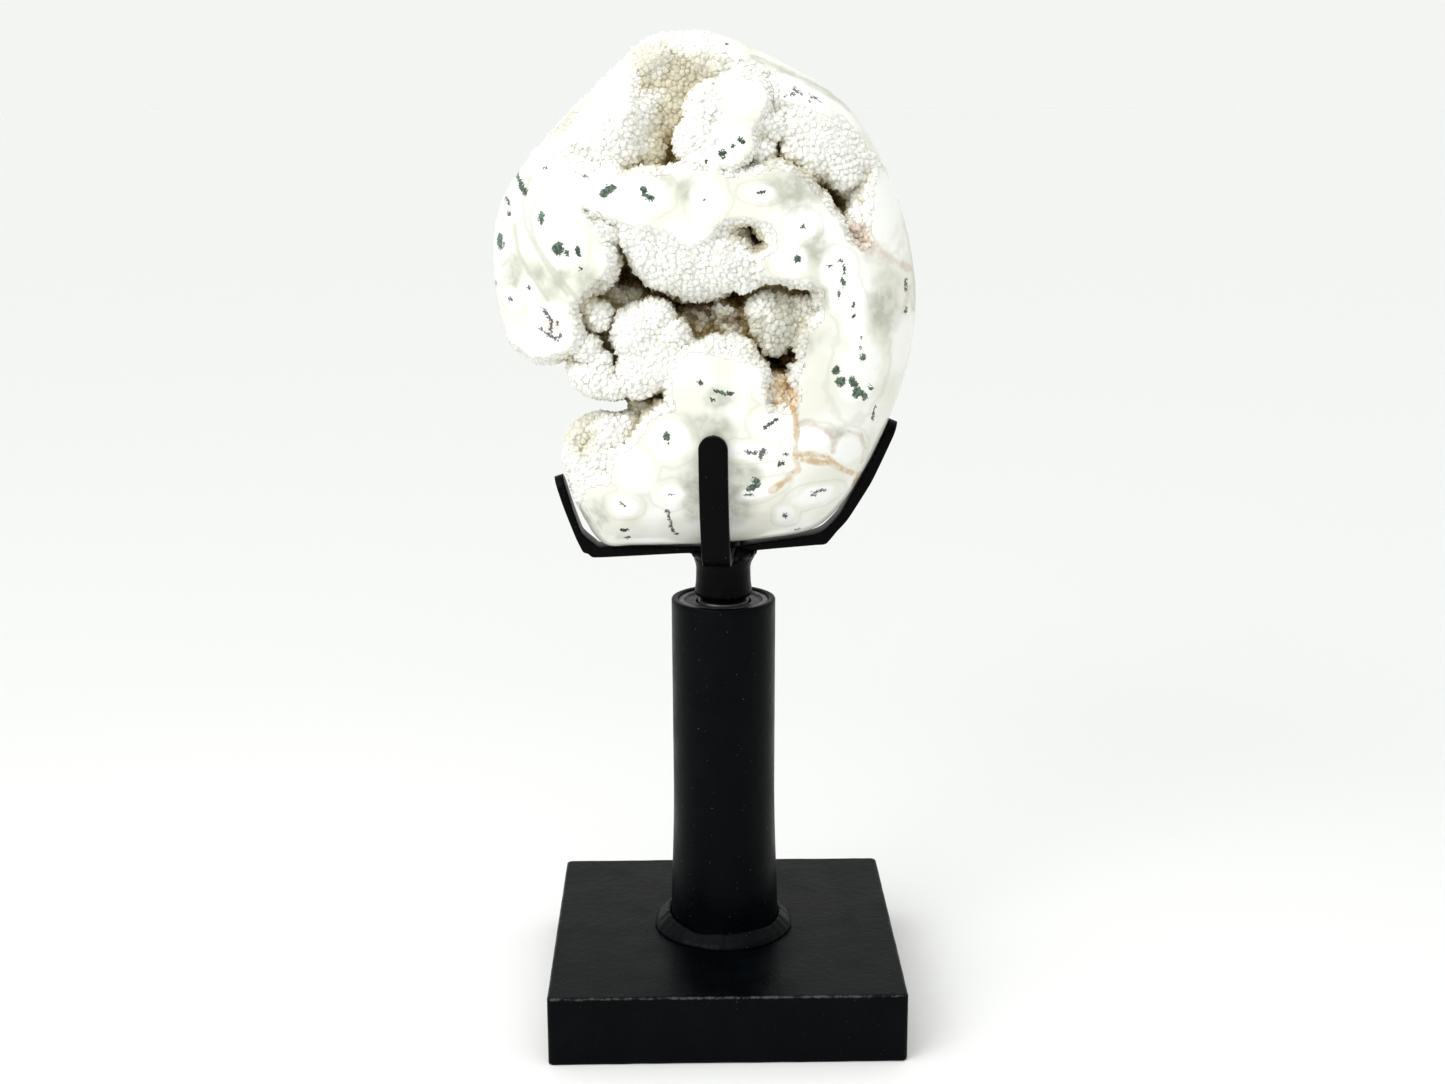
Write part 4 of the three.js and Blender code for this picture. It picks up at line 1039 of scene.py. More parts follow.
@dataclass
class Stand(Part):
    """The square plate, the tube welded on it, and the still half of the bearing."""

    plate_half: float = 50.0
    plate_thickness: float = 20.0
    plate_corner: float = 1.6
    edge_rounding: float = 0.7
    edge_wobble: float = 0.22
    tube_top: float = 121.0
    tube_bore: float = 13.0
    tube_sections: tuple[Point2, ...] = ((15.9, 20.0), (15.8, 30), (15.2, 44), (14.8, 60), (14.9, 90), (15, 121))
    flat_share: float = 0.985
    weld_inner: float = 16.1
    weld_outer: float = 20.6
    weld_height: float = 5.0
    bearing_top: float = 120.5
    bearing_width: float = 8.0
    outer_race_inner: float = 11.3
    shield_inner: float = 8.0
    shield_recess: float = 0.35
    shield_thickness: float = 0.6

    def build(self) -> None:
        """Builds every piece of the stand."""
        paint = BlackPaint("stand_paint", worn_half=self.plate_half, worn_top=self.plate_thickness).material()
        steel = TurnedSteel("bearing_steel", (0.2, 0.2, 0.2), 0.3).material()
        shield = TurnedSteel("bearing_shield", (0.1, 0.1, 0.1), 0.4).material()
        self.hand_over(make_object("plate", self.plate()), Body.STAND, Slot.STAND_PAINT, paint, "base_plate")
        self.hand_over(make_object("column", self.column()), Body.STAND, Slot.STAND_PAINT, paint, "column_tube")
        self.hand_over(make_object("weld_bead", self.weld()), Body.STAND, Slot.STAND_PAINT, paint, "foot_weld")
        outer = make_object("outer_race", turned(self.outer_race()))
        self.hand_over(outer, Body.STAND, Slot.BEARING_STEEL, steel, "bearing_outer_ring")
        cover = make_object("race_shield", turned(self.shield()))
        self.hand_over(cover, Body.STAND, Slot.BEARING_SHIELD, shield, "bearing_shield")

    def plate(self) -> Shape:
        """The plate, its edges rounded unevenly by grinding and wear."""
        side = self.plate_half
        square = softened([(side, side), (-side, side), (-side, -side), (side, -side)], self.plate_corner, 5)
        edge: list[np.ndarray] = []
        for a, b in zip(square, np.roll(square, -1, 0)):
            edge.extend(np.linspace(a, b, 36, endpoint=False) if np.linalg.norm(b - a) > 10 else [a])
        outline = np.array(edge)
        noise = SmoothNoise(11, 5.0)
        chips = SmoothNoise(12, 1.7)
        bend = np.linspace(0, math.pi / 2, 5)
        levels = [(1 - math.sin(a), 1 - math.cos(a), False) for a in bend] + [(1 - math.cos(a), 1 - math.sin(a), True) for a in bend]
        rings = []
        for inset, drop, upper in levels:
            wobble = noise.at(outline[:, 0], outline[:, 1], np.full(len(outline), 40.0 * upper))
            nick = np.clip(chips.at(outline[:, 0], outline[:, 1], np.full(len(outline), 9.0 * upper)) - 0.45, 0, 1)
            rounding = self.edge_rounding + self.edge_wobble * wobble + 0.8 * nick
            shrink = 1 - (inset * rounding / side)[:, None]
            height = self.plate_thickness - drop * rounding if upper else drop * rounding
            rings.append(np.hstack([outline * shrink, height[:, None]]))
        flat_below, flat_above = (rings[i] * (self.flat_share, self.flat_share, 1) for i in (0, -1))
        return loft(np.array([flat_below, *rings, flat_above]))

    def column(self) -> Shape:
        """The tube, slightly waisted, with its sawn top edge a little rounded."""
        heights = np.array([z for _, z in self.tube_sections])
        radii = np.array([r for r, _ in self.tube_sections])
        rise = np.linspace(heights[0], heights[-1], 60)
        smooth = np.interp(rise, heights, radii)
        kernel = np.ones(9) / 9
        padded = np.concatenate([np.full(4, smooth[0]), smooth, np.full(4, smooth[-1])])
        outside = np.column_stack([np.convolve(padded, kernel, "valid"), rise])
        top, bore = self.tube_top, self.tube_bore
        rim = [(outside[-1, 0], top - 0.45), (outside[-1, 0] - 0.14, top - 0.14), (outside[-1, 0] - 0.45, top)]
        lip = [(bore + 0.3, top), (bore, top - 0.3), (bore, heights[0])]
        return turned(np.vstack([outside[:-1], rim, lip]))

    def weld(self) -> Shape:
        """The weld bead: a fillet of overlapping ripples laid round the tube's foot."""
        angle = np.linspace(0, 2 * math.pi, 360, endpoint=False)
        section = softened(
            [
                (0, 0), (1, 0), (0.97, 0.16), (0.8, 0.42), (0.5, 0.66), (0.22, 0.95), (0, 1),
            ], 0.12, 3,
        )
        circle = np.cos(angle), np.sin(angle)
        slow = SmoothNoise(21, 0.55).at(*circle, np.zeros(360))
        quick = SmoothNoise(22, 0.16).at(*circle, np.zeros(360))
        ripple = 0.22 * np.abs(np.sin(angle * 17 + 2.2 * slow)) + 0.3 * quick
        width = (self.weld_outer - self.weld_inner) * (0.8 + 0.2 * np.abs(np.cos(angle))) + 1.0 * slow + 0.5 * ripple
        height = self.weld_height * (0.62 + 0.3 * np.abs(np.cos(angle)) + 0.26 * slow) + 0.5 * ripple
        rings = []
        for i, turn in enumerate(angle):
            radius = self.weld_inner + section[:, 0] * width[i]
            level = self.plate_thickness + section[:, 1] * height[i]
            rings.append(np.column_stack([radius * math.cos(turn), radius * math.sin(turn), level]))
        return tube_loft(np.array(rings))

    def outer_race(self) -> np.ndarray:
        """The outer ring's section."""
        outer, inner, top = self.tube_bore - 0.1, self.outer_race_inner, self.bearing_top
        bottom = top - self.bearing_width
        return softened([(inner, bottom), (outer, bottom), (outer, top), (inner, top)], 0.35)

    def shield(self) -> np.ndarray:
        """The pressed shield's section, with its rolled rim and a shallow step."""
        outer, inner = self.outer_race_inner - 0.1, self.shield_inner
        top = self.bearing_top - self.shield_recess
        low = top - self.shield_thickness
        middle = (outer + inner) / 2
        return softened(
            [
                (inner, low), (outer, low), (outer, top), (outer - 0.45, top), (outer - 0.6, top - 0.2),
                (middle, top - 0.2), (middle - 0.2, top - 0.04), (inner, top - 0.04),
            ], 0.1,
        )


@dataclass(frozen=True)
class BarStation:
    """One place along a bent flat bar: its outer and its inner side, as (reach, z)."""

    outer: Point2
    inner: Point2


@dataclass
class Cradle(Part):
    """The turning half: bearing ring, stem and the four bent arms."""

    race_outer: float = 7.4
    shaft: float = 5.0
    race_top: float = 120.5
    race_width: float = 8.0
    collar_bottom: float = 122.1
    collar: float = 8.25
    neck: float = 7.8
    arm_width: float = 8.0
    arm_rounding: float = 0.5
    arm_low: float = 134.6
    arm_top: float = 136.8
    hub_half: float = 4.15
    face_arm_turn: float = math.radians(6.5)
    left_bar: tuple[BarStation, ...] = (
        BarStation((4.45, 134.9), (4.45, 136.8)), BarStation((11.7, 134.9), (11.7, 136.8)),
        BarStation((25, 134.3), (25, 136.8)), BarStation((33, 133.95), (33, 136.8)),
        BarStation((37.2, 133.9), (35.5, 136.9)), BarStation((38.6, 134.9), (36.9, 138)),
        BarStation((40.1, 135.6), (38.7, 139.5)), BarStation((42, 139.6), (40.3, 141.3)),
        BarStation((44.2, 145.4), (41.9, 145.6)), BarStation((45.6, 149.4), (43.3, 149.9)),
        BarStation((47.9, 156.8), (45.5, 157.6)),
    )
    right_bar: tuple[BarStation, ...] = (
        BarStation((4.45, 135.2), (4.45, 137)), BarStation((16, 136.2), (15, 138.4)),
        BarStation((26.1, 137), (25.2, 140)), BarStation((29.3, 137.4), (28.3, 141.2)),
        BarStation((32.4, 141), (30.4, 143)), BarStation((35.6, 144.7), (33.3, 146.4)),
        BarStation((41.8, 154.8), (39.4, 157)), BarStation((45.2, 162), (42.9, 163.6)),
        BarStation((48.2, 168.8), (45.8, 170.2)), BarStation((49.4, 172), (47, 173)),
    )
    face_bar: tuple[BarStation, ...] = (
        BarStation((5.25, 134.6), (5.25, 136.8)), BarStation((16.8, 134.2), (16.2, 136.8)),
        BarStation((20.2, 135.5), (18.2, 137.6)), BarStation((22.6, 140), (20.4, 140.9)),
        BarStation((25.9, 150), (23.6, 150.2)), BarStation((27.9, 161), (25.7, 161.2)),
        BarStation((29, 173.2), (26.8, 173.2)),
    )

    def build(self) -> None:
        """Builds every piece that turns, but for the stone."""
        paint = BlackPaint("cradle_paint", (0.0006, 0.0007, 0.0007), 0.26, 0.38).material()
        steel = TurnedSteel("race_steel", (0.16, 0.16, 0.16), 0.32).material()
        inner = make_object("inner_race", turned(self.inner_race()))
        self.hand_over(inner, Body.CRADLE, Slot.BEARING_STEEL, steel, "bearing_inner_ring")
        stem = make_object("stem", self.stem())
        self.hand_over(stem, Body.CRADLE, Slot.CRADLE_PAINT, paint, "swivel_stem")
        bars = {
            "left_arm": (self.left_bar, math.pi), "right_arm": (self.right_bar, 0.0),
            "front_arm": (self.face_bar, -math.pi / 2 - self.face_arm_turn),
            "rear_arm": (self.face_bar, math.pi / 2 - self.face_arm_turn),
        }
        for node, (stations, turn) in bars.items():
            bar = make_object(node.replace("arm", "bar"), self.bent_bar(stations, turn))
            self.hand_over(bar, Body.CRADLE, Slot.CRADLE_PAINT, paint, node)

    def inner_race(self) -> np.ndarray:
        """The inner ring's section."""
        bottom = self.race_top - self.race_width
        inner = self.shaft + 0.1
        corners = [(inner, bottom), (self.race_outer, bottom), (self.race_outer, self.race_top), (inner, self.race_top)]
        return softened(corners, 0.3)

    def stem(self) -> Shape:
        """Shaft, shoulder, collar and flared neck, with weld metal run up to the arms."""
        shoulder = self.race_outer - 0.6
        low = self.race_top - self.race_width
        profile = softened(
            [
                (0.01, low), (self.shaft, low), (self.shaft, self.race_top + 0.1), (shoulder, self.race_top + 0.1),
                (shoulder, self.collar_bottom), (self.collar - 0.2, self.collar_bottom),
                (self.collar, self.collar_bottom + 0.4), (self.collar, self.collar_bottom + 1.3),
                (self.neck + 0.1, 126), (self.neck, 130.2), (self.neck + 0.4, 132), (self.neck + 1.3, 133.4),
                (self.neck + 2.5, 134.4), (self.neck + 2.3, 135.4), (self.neck - 1.2, 136.3), (4, 136.9), (0.01, 137),
            ], 0.5, 3, closed=False,
        )
        points, faces = turned_solid(profile, 144)
        angle = np.arctan2(points[:, 1], points[:, 0])
        lumps = SmoothNoise(31, 2.4).at(*points.T) + 0.6 * SmoothNoise(32, 1.1).at(*points.T)
        near_arms = np.abs(np.cos(2 * angle)) ** 3
        high = smooth_step(points[:, 2], 131.0, 134.0) * (1 - smooth_step(points[:, 2], 136.4, 136.9))
        grown = 1 + high * (0.05 * lumps + 0.04 * near_arms - 0.06)
        points[:, :2] *= grown[:, None]
        return points, faces

    def bent_bar(self, stations: Sequence[BarStation], turn: float) -> Shape:
        """A flat bar bent in its own plane, its corners rounded and its end a half circle.

        Args:
            stations: Places along the bar, from the hub outwards.
            turn: The bar's direction about the swivel axis.

        Returns:
            Points and triangles.
        """
        outer = self.smoothed([s.outer for s in stations])
        inner = self.smoothed([s.inner for s in stations])
        middle, half = (outer + inner) / 2, (inner - outer) / 2
        run = np.concatenate([[0], np.cumsum(np.linalg.norm(np.diff(middle, axis=0), axis=1))])
        to_end = run[-1] - run
        half_width = self.arm_width / 2
        narrowing = np.sqrt(np.clip(1 - (1 - np.minimum(to_end, half_width) / half_width) ** 2, 0, 1))
        direction = np.array([math.cos(turn), math.sin(turn), 0.0])
        sideways = np.array([-math.sin(turn), math.cos(turn), 0.0])
        upward = np.array([0.0, 0.0, 1.0])
        rings = []
        for centre, thick, share in zip(middle, half, narrowing):
            width = max(half_width * share, 0.12)
            depth = np.linalg.norm(thick)
            corners = [(-width, -depth), (width, -depth), (width, depth), (-width, depth)]
            section = softened(corners, min(self.arm_rounding, 0.8 * width), 3)
            unit = thick / depth
            place = centre[None, :] + section[:, 1:] * unit[None, :]
            rings.append(place[:, :1] * direction + place[:, 1:] * upward + section[:, :1] * sideways)
        return loft(np.array(rings))

    @staticmethod
    def smoothed(corners: Sequence[Point2], steps: int = 8) -> np.ndarray:
        """Points along an open smooth line through corners, closer together near its end."""
        padded = np.vstack([2 * np.array(corners[0]) - corners[1], corners, 2 * np.array(corners[-1]) - corners[-2]])
        pieces = []
        for before, start, end, after in zip(padded, padded[1:], padded[2:], padded[3:]):
            part = np.linspace(0, 1, steps, endpoint=False)[:, None]
            leave, enter = 0.3 * (end - before), 0.3 * (after - start)
            pieces.append(
                (1 + 2 * part) * (1 - part) ** 2 * start + part * (1 - part) ** 2 * leave
                + part**2 * (3 - 2 * part) * end + part**2 * (part - 1) * enter
            )
        line = np.vstack([*pieces, padded[-2][None]])
        last = line[-2 * steps - 1:]
        fine = np.vstack([np.interp(np.linspace(0, 2 * steps, 6 * steps), np.arange(2 * steps + 1), last[:, i]) for i in (0, 1)]).T
        return np.vstack([line[:-2 * steps - 1], fine])


def surface_nets(field_values: np.ndarray, origin: np.ndarray, cell: float) -> Shape:
    """The surface where a field on a regular grid passes zero, one point per crossed cell.

    Args:
        field_values: The field, negative inside the body.
        origin: The place of the grid's first point.
        cell: The grid's spacing.

    Returns:
        Points and four-cornered faces that look out of the body.
    """
    inside = field_values < 0
    shape = np.array(field_values.shape) - 1
    count = np.zeros(shape, np.int8)
    for a, b, c in itertools.product((0, 1), repeat=3):
        count += inside[a:a + shape[0], b:b + shape[1], c:c + shape[2]]
    cells = np.argwhere((count > 0) & (count < 8))
    number = np.full(shape, -1, np.int64)
    number[tuple(cells.T)] = np.arange(len(cells))
    total, crossings = np.zeros((len(cells), 3)), np.zeros(len(cells))
    units = np.eye(3, dtype=int)
    for axis, (a, b) in itertools.product(range(3), itertools.product((0, 1), repeat=2)):
        offset = a * units[axis - 1] + b * units[axis - 2]
        low = field_values[tuple((cells + offset).T)]
        high = field_values[tuple((cells + offset + units[axis]).T)]
        crossed = (low < 0) != (high < 0)
        part = low[crossed] / (low[crossed] - high[crossed])
        total[crossed] += offset + part[:, None] * units[axis]
        crossings[crossed] += 1
    points = origin + cell * (cells + total / crossings[:, None])
    quads = []
    for axis in range(3):
        one, two = units[(axis + 1) % 3], units[(axis + 2) % 3]
        edges = np.argwhere(np.diff(inside, axis=axis))
        edges = edges[(edges[:, (axis + 1) % 3] > 0) & (edges[:, (axis + 2) % 3] > 0)]
        edges = edges[(edges[:, (axis + 1) % 3] < shape[(axis + 1) % 3]) & (edges[:, (axis + 2) % 3] < shape[(axis + 2) % 3])]
        ring = [number[tuple((edges - shift).T)] for shift in (one + two, two, 0 * one, one)]
        faces = np.stack(ring, 1)
        leaves = inside[tuple(edges.T)]
        quads.append(np.where(leaves[:, None], faces, faces[:, ::-1]))
    return points, np.vstack(quads)


def largest_body(shape: Shape) -> Shape:
    """The biggest connected part of a mesh."""
    points, faces = shape
    label = np.arange(len(points))
    links = np.vstack([faces[:, [i, (i + 1) % faces.shape[1]]] for i in range(faces.shape[1])])
    while True:
        least = np.minimum(label[links[:, 0]], label[links[:, 1]])
        fresh = label.copy()
        np.minimum.at(fresh, links[:, 0], least)
        np.minimum.at(fresh, links[:, 1], least)
        fresh = np.minimum(fresh, fresh[fresh])
        if np.array_equal(fresh, label):
            break
        label = fresh
    kept_label = np.bincount(label).argmax()
    kept = label == kept_label
    number = np.cumsum(kept) - 1
    return points[kept], number[faces[kept[faces[:, 0]]]]


@dataclass
class AgateForm:
    """The stone as a field over space, negative inside it: a flat dome on each side of a traced
    outline, with its druzy hollows sunk between polished masses, lobes and a floor."""

    cell: float = 0.85
    front: float = 27.0
    back: float = 26.0
    flatness: float = 4.0
    front_floor: float = -11.0
    back_floor: float = 12.0
    least_backing: float = 7.0
    under_polish: float = 0.9
    scallop: float = 0.55
    notch_room: float = 1.2
    crystal_room: float = 0.75
    least_sunk: float = 0.2
    sink_run: float = 4.0
    front_ends: float = 8.0
    end_wander: float = 6.0

    def __post_init__(self) -> None:
        """Measures the outline about the stone's centre."""
        curve = closed_curve(STONE_OUTLINE) - STONE_CENTRE
        angle = np.arctan2(curve[:, 1], curve[:, 0])
        order = np.argsort(angle)
        self.angles, self.reaches = angle[order], np.hypot(*curve.T)[order]

    def ring(self, x: np.ndarray, z: np.ndarray) -> tuple[np.ndarray, np.ndarray]:
        """How far out a place lies, where 1 is the outline, and the outline's reach there."""
        dx, dz = x - STONE_CENTRE[0], z - STONE_CENTRE[1]
        reach = np.interp(np.arctan2(dz, dx), self.angles, self.reaches, period=2 * math.pi)
        return np.hypot(dx, dz) / reach, reach

    def dome(self, x: np.ndarray, y: np.ndarray, z: np.ndarray) -> np.ndarray:
        """About how far a place lies outside the polished dome, in millimetres."""
        out, reach = self.ring(x, z)
        depth = np.where(y < 0, self.front, self.back)
        value = out**self.flatness + (y / depth) ** 2 - 1
        slope = np.hypot(self.flatness * out ** (self.flatness - 1) / reach, 2 * y / depth**2)
        return value / np.maximum(slope, 0.03)

    def bulge(self, x: np.ndarray, z: np.ndarray) -> np.ndarray:
        """The dome's height as a share of its height at the middle."""
        out, _ = self.ring(x, z)
        return np.sqrt(np.clip(1 - out**self.flatness, 0, 1))

    def recess(self, x: np.ndarray, y: np.ndarray, z: np.ndarray) -> np.ndarray:
        """How far below the polished dome a place lies, along the depth."""
        bulge = self.bulge(x, z)
        return np.clip(np.where(y < 0, self.front * bulge + y, self.back * bulge - y), 0, 30)

    @staticmethod
    def blend_lobes(lobes: Iterable[np.ndarray], start: np.ndarray, softness: float = 1.0) -> np.ndarray:
        """The union of lobe fields, with a small fillet in the folds between them."""
        nearest = start
        for lobe in lobes:
            mixing = np.clip(0.5 + 0.5 * (nearest - lobe) / softness, 0, 1)
            nearest = nearest + (lobe - nearest) * mixing - softness * mixing * (1 - mixing)
        return nearest

    def values(self, x: np.ndarray, y: np.ndarray, z: np.ndarray) -> np.ndarray:
        """The whole field.

        Args:
            x: Across positions, which broadcast with y and z.
            y: Depths.
            z: Heights.

        Returns:
            About the distance to the surface, negative inside.
        """
        dome = self.dome(x, y, z)
        scallop = SmoothNoise(41, 2.3).at(x, 0 * x, z) + 0.6 * SmoothNoise(42, 1.1, 40).at(x, 0 * x, z)
        outlines = (BAND_AND_FACE, TOP_PATCH, DOT_PATCH)
        edge = np.minimum.reduce([outline_distance(x, z, outline) for outline in outlines]) + self.scallop * scallop
        below = np.maximum(-dome, 0)
        coarse, fine = SmoothNoise(43, 4.2).at(x, y, z), SmoothNoise(44, 2.0, 48).at(x, y, z)
        lumps = 0.55 * coarse + 0.4 * fine
        rough = lumps + self.crystal_room
        swell = 1.1 * (1 - np.exp(-below / 3)) + lumps * (1 - np.exp(-below / 2))
        bulge = self.bulge(x, z)
        front_lobes = (
            np.sqrt((x - a) ** 2 + (z - b) ** 2 + np.minimum(y - c, 0) ** 2) - r + rough for a, b, c, r in FRONT_LOBES
        )
        floor = self.front_floor + 0 * x
        for pit_x, pit_z, wide, deep in FRONT_PITS:
            floor = floor + deep * np.exp(-((x - pit_x) ** 2 + (z - pit_z) ** 2) / wide**2)
        floor = np.minimum(floor, self.back * bulge - self.least_backing)
        keep_front = self.blend_lobes(front_lobes, np.minimum(edge - swell, floor - y + lumps))
        rounds = np.maximum.reduce([r - np.hypot(x - a, z - b) for a, b, r in BACK_HOLLOWS]) + self.scallop * scallop
        back_lobes = (
            np.sqrt((x - a) ** 2 + (z - b) ** 2 + np.maximum(y - c, 0) ** 2) - r + rough for a, b, c, r in BACK_LOBES
        )
        back_floor = np.maximum(self.back_floor, self.least_backing - self.front * bulge)
        keep_back = self.blend_lobes(back_lobes, np.minimum(rounds - swell, y - back_floor + lumps))
        front_end = np.clip((self.front_ends + self.end_wander * coarse - y) / 3, 0, 1)
        sunk = np.maximum(self.sinking(edge) * front_end, self.sinking(rounds) * np.clip(y / 3, 0, 1))
        skin = dome + sunk * (1 + 0.4 * fine)
        for a, b, c, wide, high, deep in CARVED:
            hollow = np.sqrt(((x - a) / wide) ** 2 + ((z - b) / high) ** 2 + ((y - c) / deep) ** 2)
            keep_front = np.maximum(keep_front, (1 - hollow) * min(wide, high) + lumps)
        notch = outline_distance(x - NOTCH_DRIFT * y, z - NOTCH_FALL * y, NOTCH_OUTLINE)
        return np.maximum.reduce([skin, keep_front, keep_back, self.notch_room - notch + 0.5 * lumps])

    def sinking(self, edge: np.ndarray) -> np.ndarray:
        """How far druzy ground lies under the polish, by the distance from its edge."""
        run = np.clip(edge / self.sink_run, 0, 1)
        return np.clip(edge / 0.3, 0, 1) * (self.least_sunk + (self.under_polish - self.least_sunk) * run)

    def surface(self) -> tuple[Shape, np.ndarray, np.ndarray]:
        """Works the stone out.

        Returns:
            Its mesh, and for each point how druzy it is, from 0 to 1, and how darkly it is toned as stain and painted
            shade:
            its depth in millimetres, weighted by how enclosed it is.
        """
        margin = 3 * self.cell
        curve = closed_curve(STONE_OUTLINE)
        low = np.array([curve[:, 0].min(), -self.front, curve[:, 1].min()]) - margin
        high = np.array([curve[:, 0].max(), self.back, curve[:, 1].max()]) + margin
        axes = [np.arange(a, b, self.cell) for a, b in zip(low, high)]
        x, y, z = np.meshgrid(*axes, indexing="ij", sparse=True)
        full = np.zeros((len(axes[0]), len(axes[1]), len(axes[2])))
        values = self.values(x + 0 * z, y + 0 * x + 0 * z, z + 0 * x) + full
        points, faces = largest_body(surface_nets(values, low, self.cell))
        crowding = self.crowding(values, points, low)
        for _ in range(2):
            near = self.dome(*points.T) > -0.06
            points[near] = self.onto_dome(points[near])
        recess = self.recess(*points.T)
        below = -self.dome(*points.T)
        druzy = np.clip(below / 0.12, 0, 1)
        # Painted shade: the depth is weighted by crowding, so folds come out darker than open faces of the same depth
        stain_and_shade = recess * np.clip((crowding - 0.38) / 0.3, 0.1, 1.25)
        return (points, faces), druzy, stain_and_shade

    def onto_dome(self, points: np.ndarray, reach: float = 0.05) -> np.ndarray:
        """Points near the polished dome, moved onto it."""
        here = self.dome(*points.T)
        slope = np.stack([self.dome(*(points + reach * axis).T) - here for axis in np.eye(3)], 1) / reach
        return points - slope * (here / np.maximum((slope**2).sum(1), 0.3))[:, None]

    def crowding(self, values: np.ndarray, points: np.ndarray, low: np.ndarray, reach: float = 4.5) -> np.ndarray:
        """How much of the space round each point is stone: half on a flat face, more in a fold."""
        solid = (values < 0).astype(np.float32)
        half = int(round(reach / self.cell / 2))
        for _ in range(3):
            for axis in range(3):
                padded = np.concatenate([np.zeros_like(np.take(solid, [0], axis)), np.cumsum(solid, axis)], axis)
                size = solid.shape[axis]
                start = np.clip(np.arange(size) - half, 0, size)
                stop = np.clip(np.arange(size) + half + 1, 0, size)
                solid = (np.take(padded, stop, axis) - np.take(padded, start, axis)) / (2 * half + 1)
        cells = np.clip(np.round((points - low) / self.cell).astype(int), 0, np.array(solid.shape) - 1)
        return solid[tuple(cells.T)]


def set_point_values(piece: bpy.types.Object, values: dict[str, np.ndarray]) -> None:
    """Stores numbers on a piece's points, under the names that materials read."""
    for name, numbers in values.items():
        attribute = piece.data.attributes.new(name, "FLOAT", "POINT")
        attribute.data.foreach_set("value", numbers.astype(np.float32))


def keep_inside(piece: bpy.types.Object, corners: Sequence[Vector]) -> None:
    """Draws in the few points of a piece that reach past the object's box, by a hair."""
    places = np.empty(3 * len(piece.data.vertices), np.float32)
    piece.data.vertices.foreach_get("co", places)
    low, high = np.array(corners[0]), np.array(corners[1])
    piece.data.vertices.foreach_set("co", np.clip(places.reshape(-1, 3), low, high).astype(np.float32).ravel())
    piece.data.update()


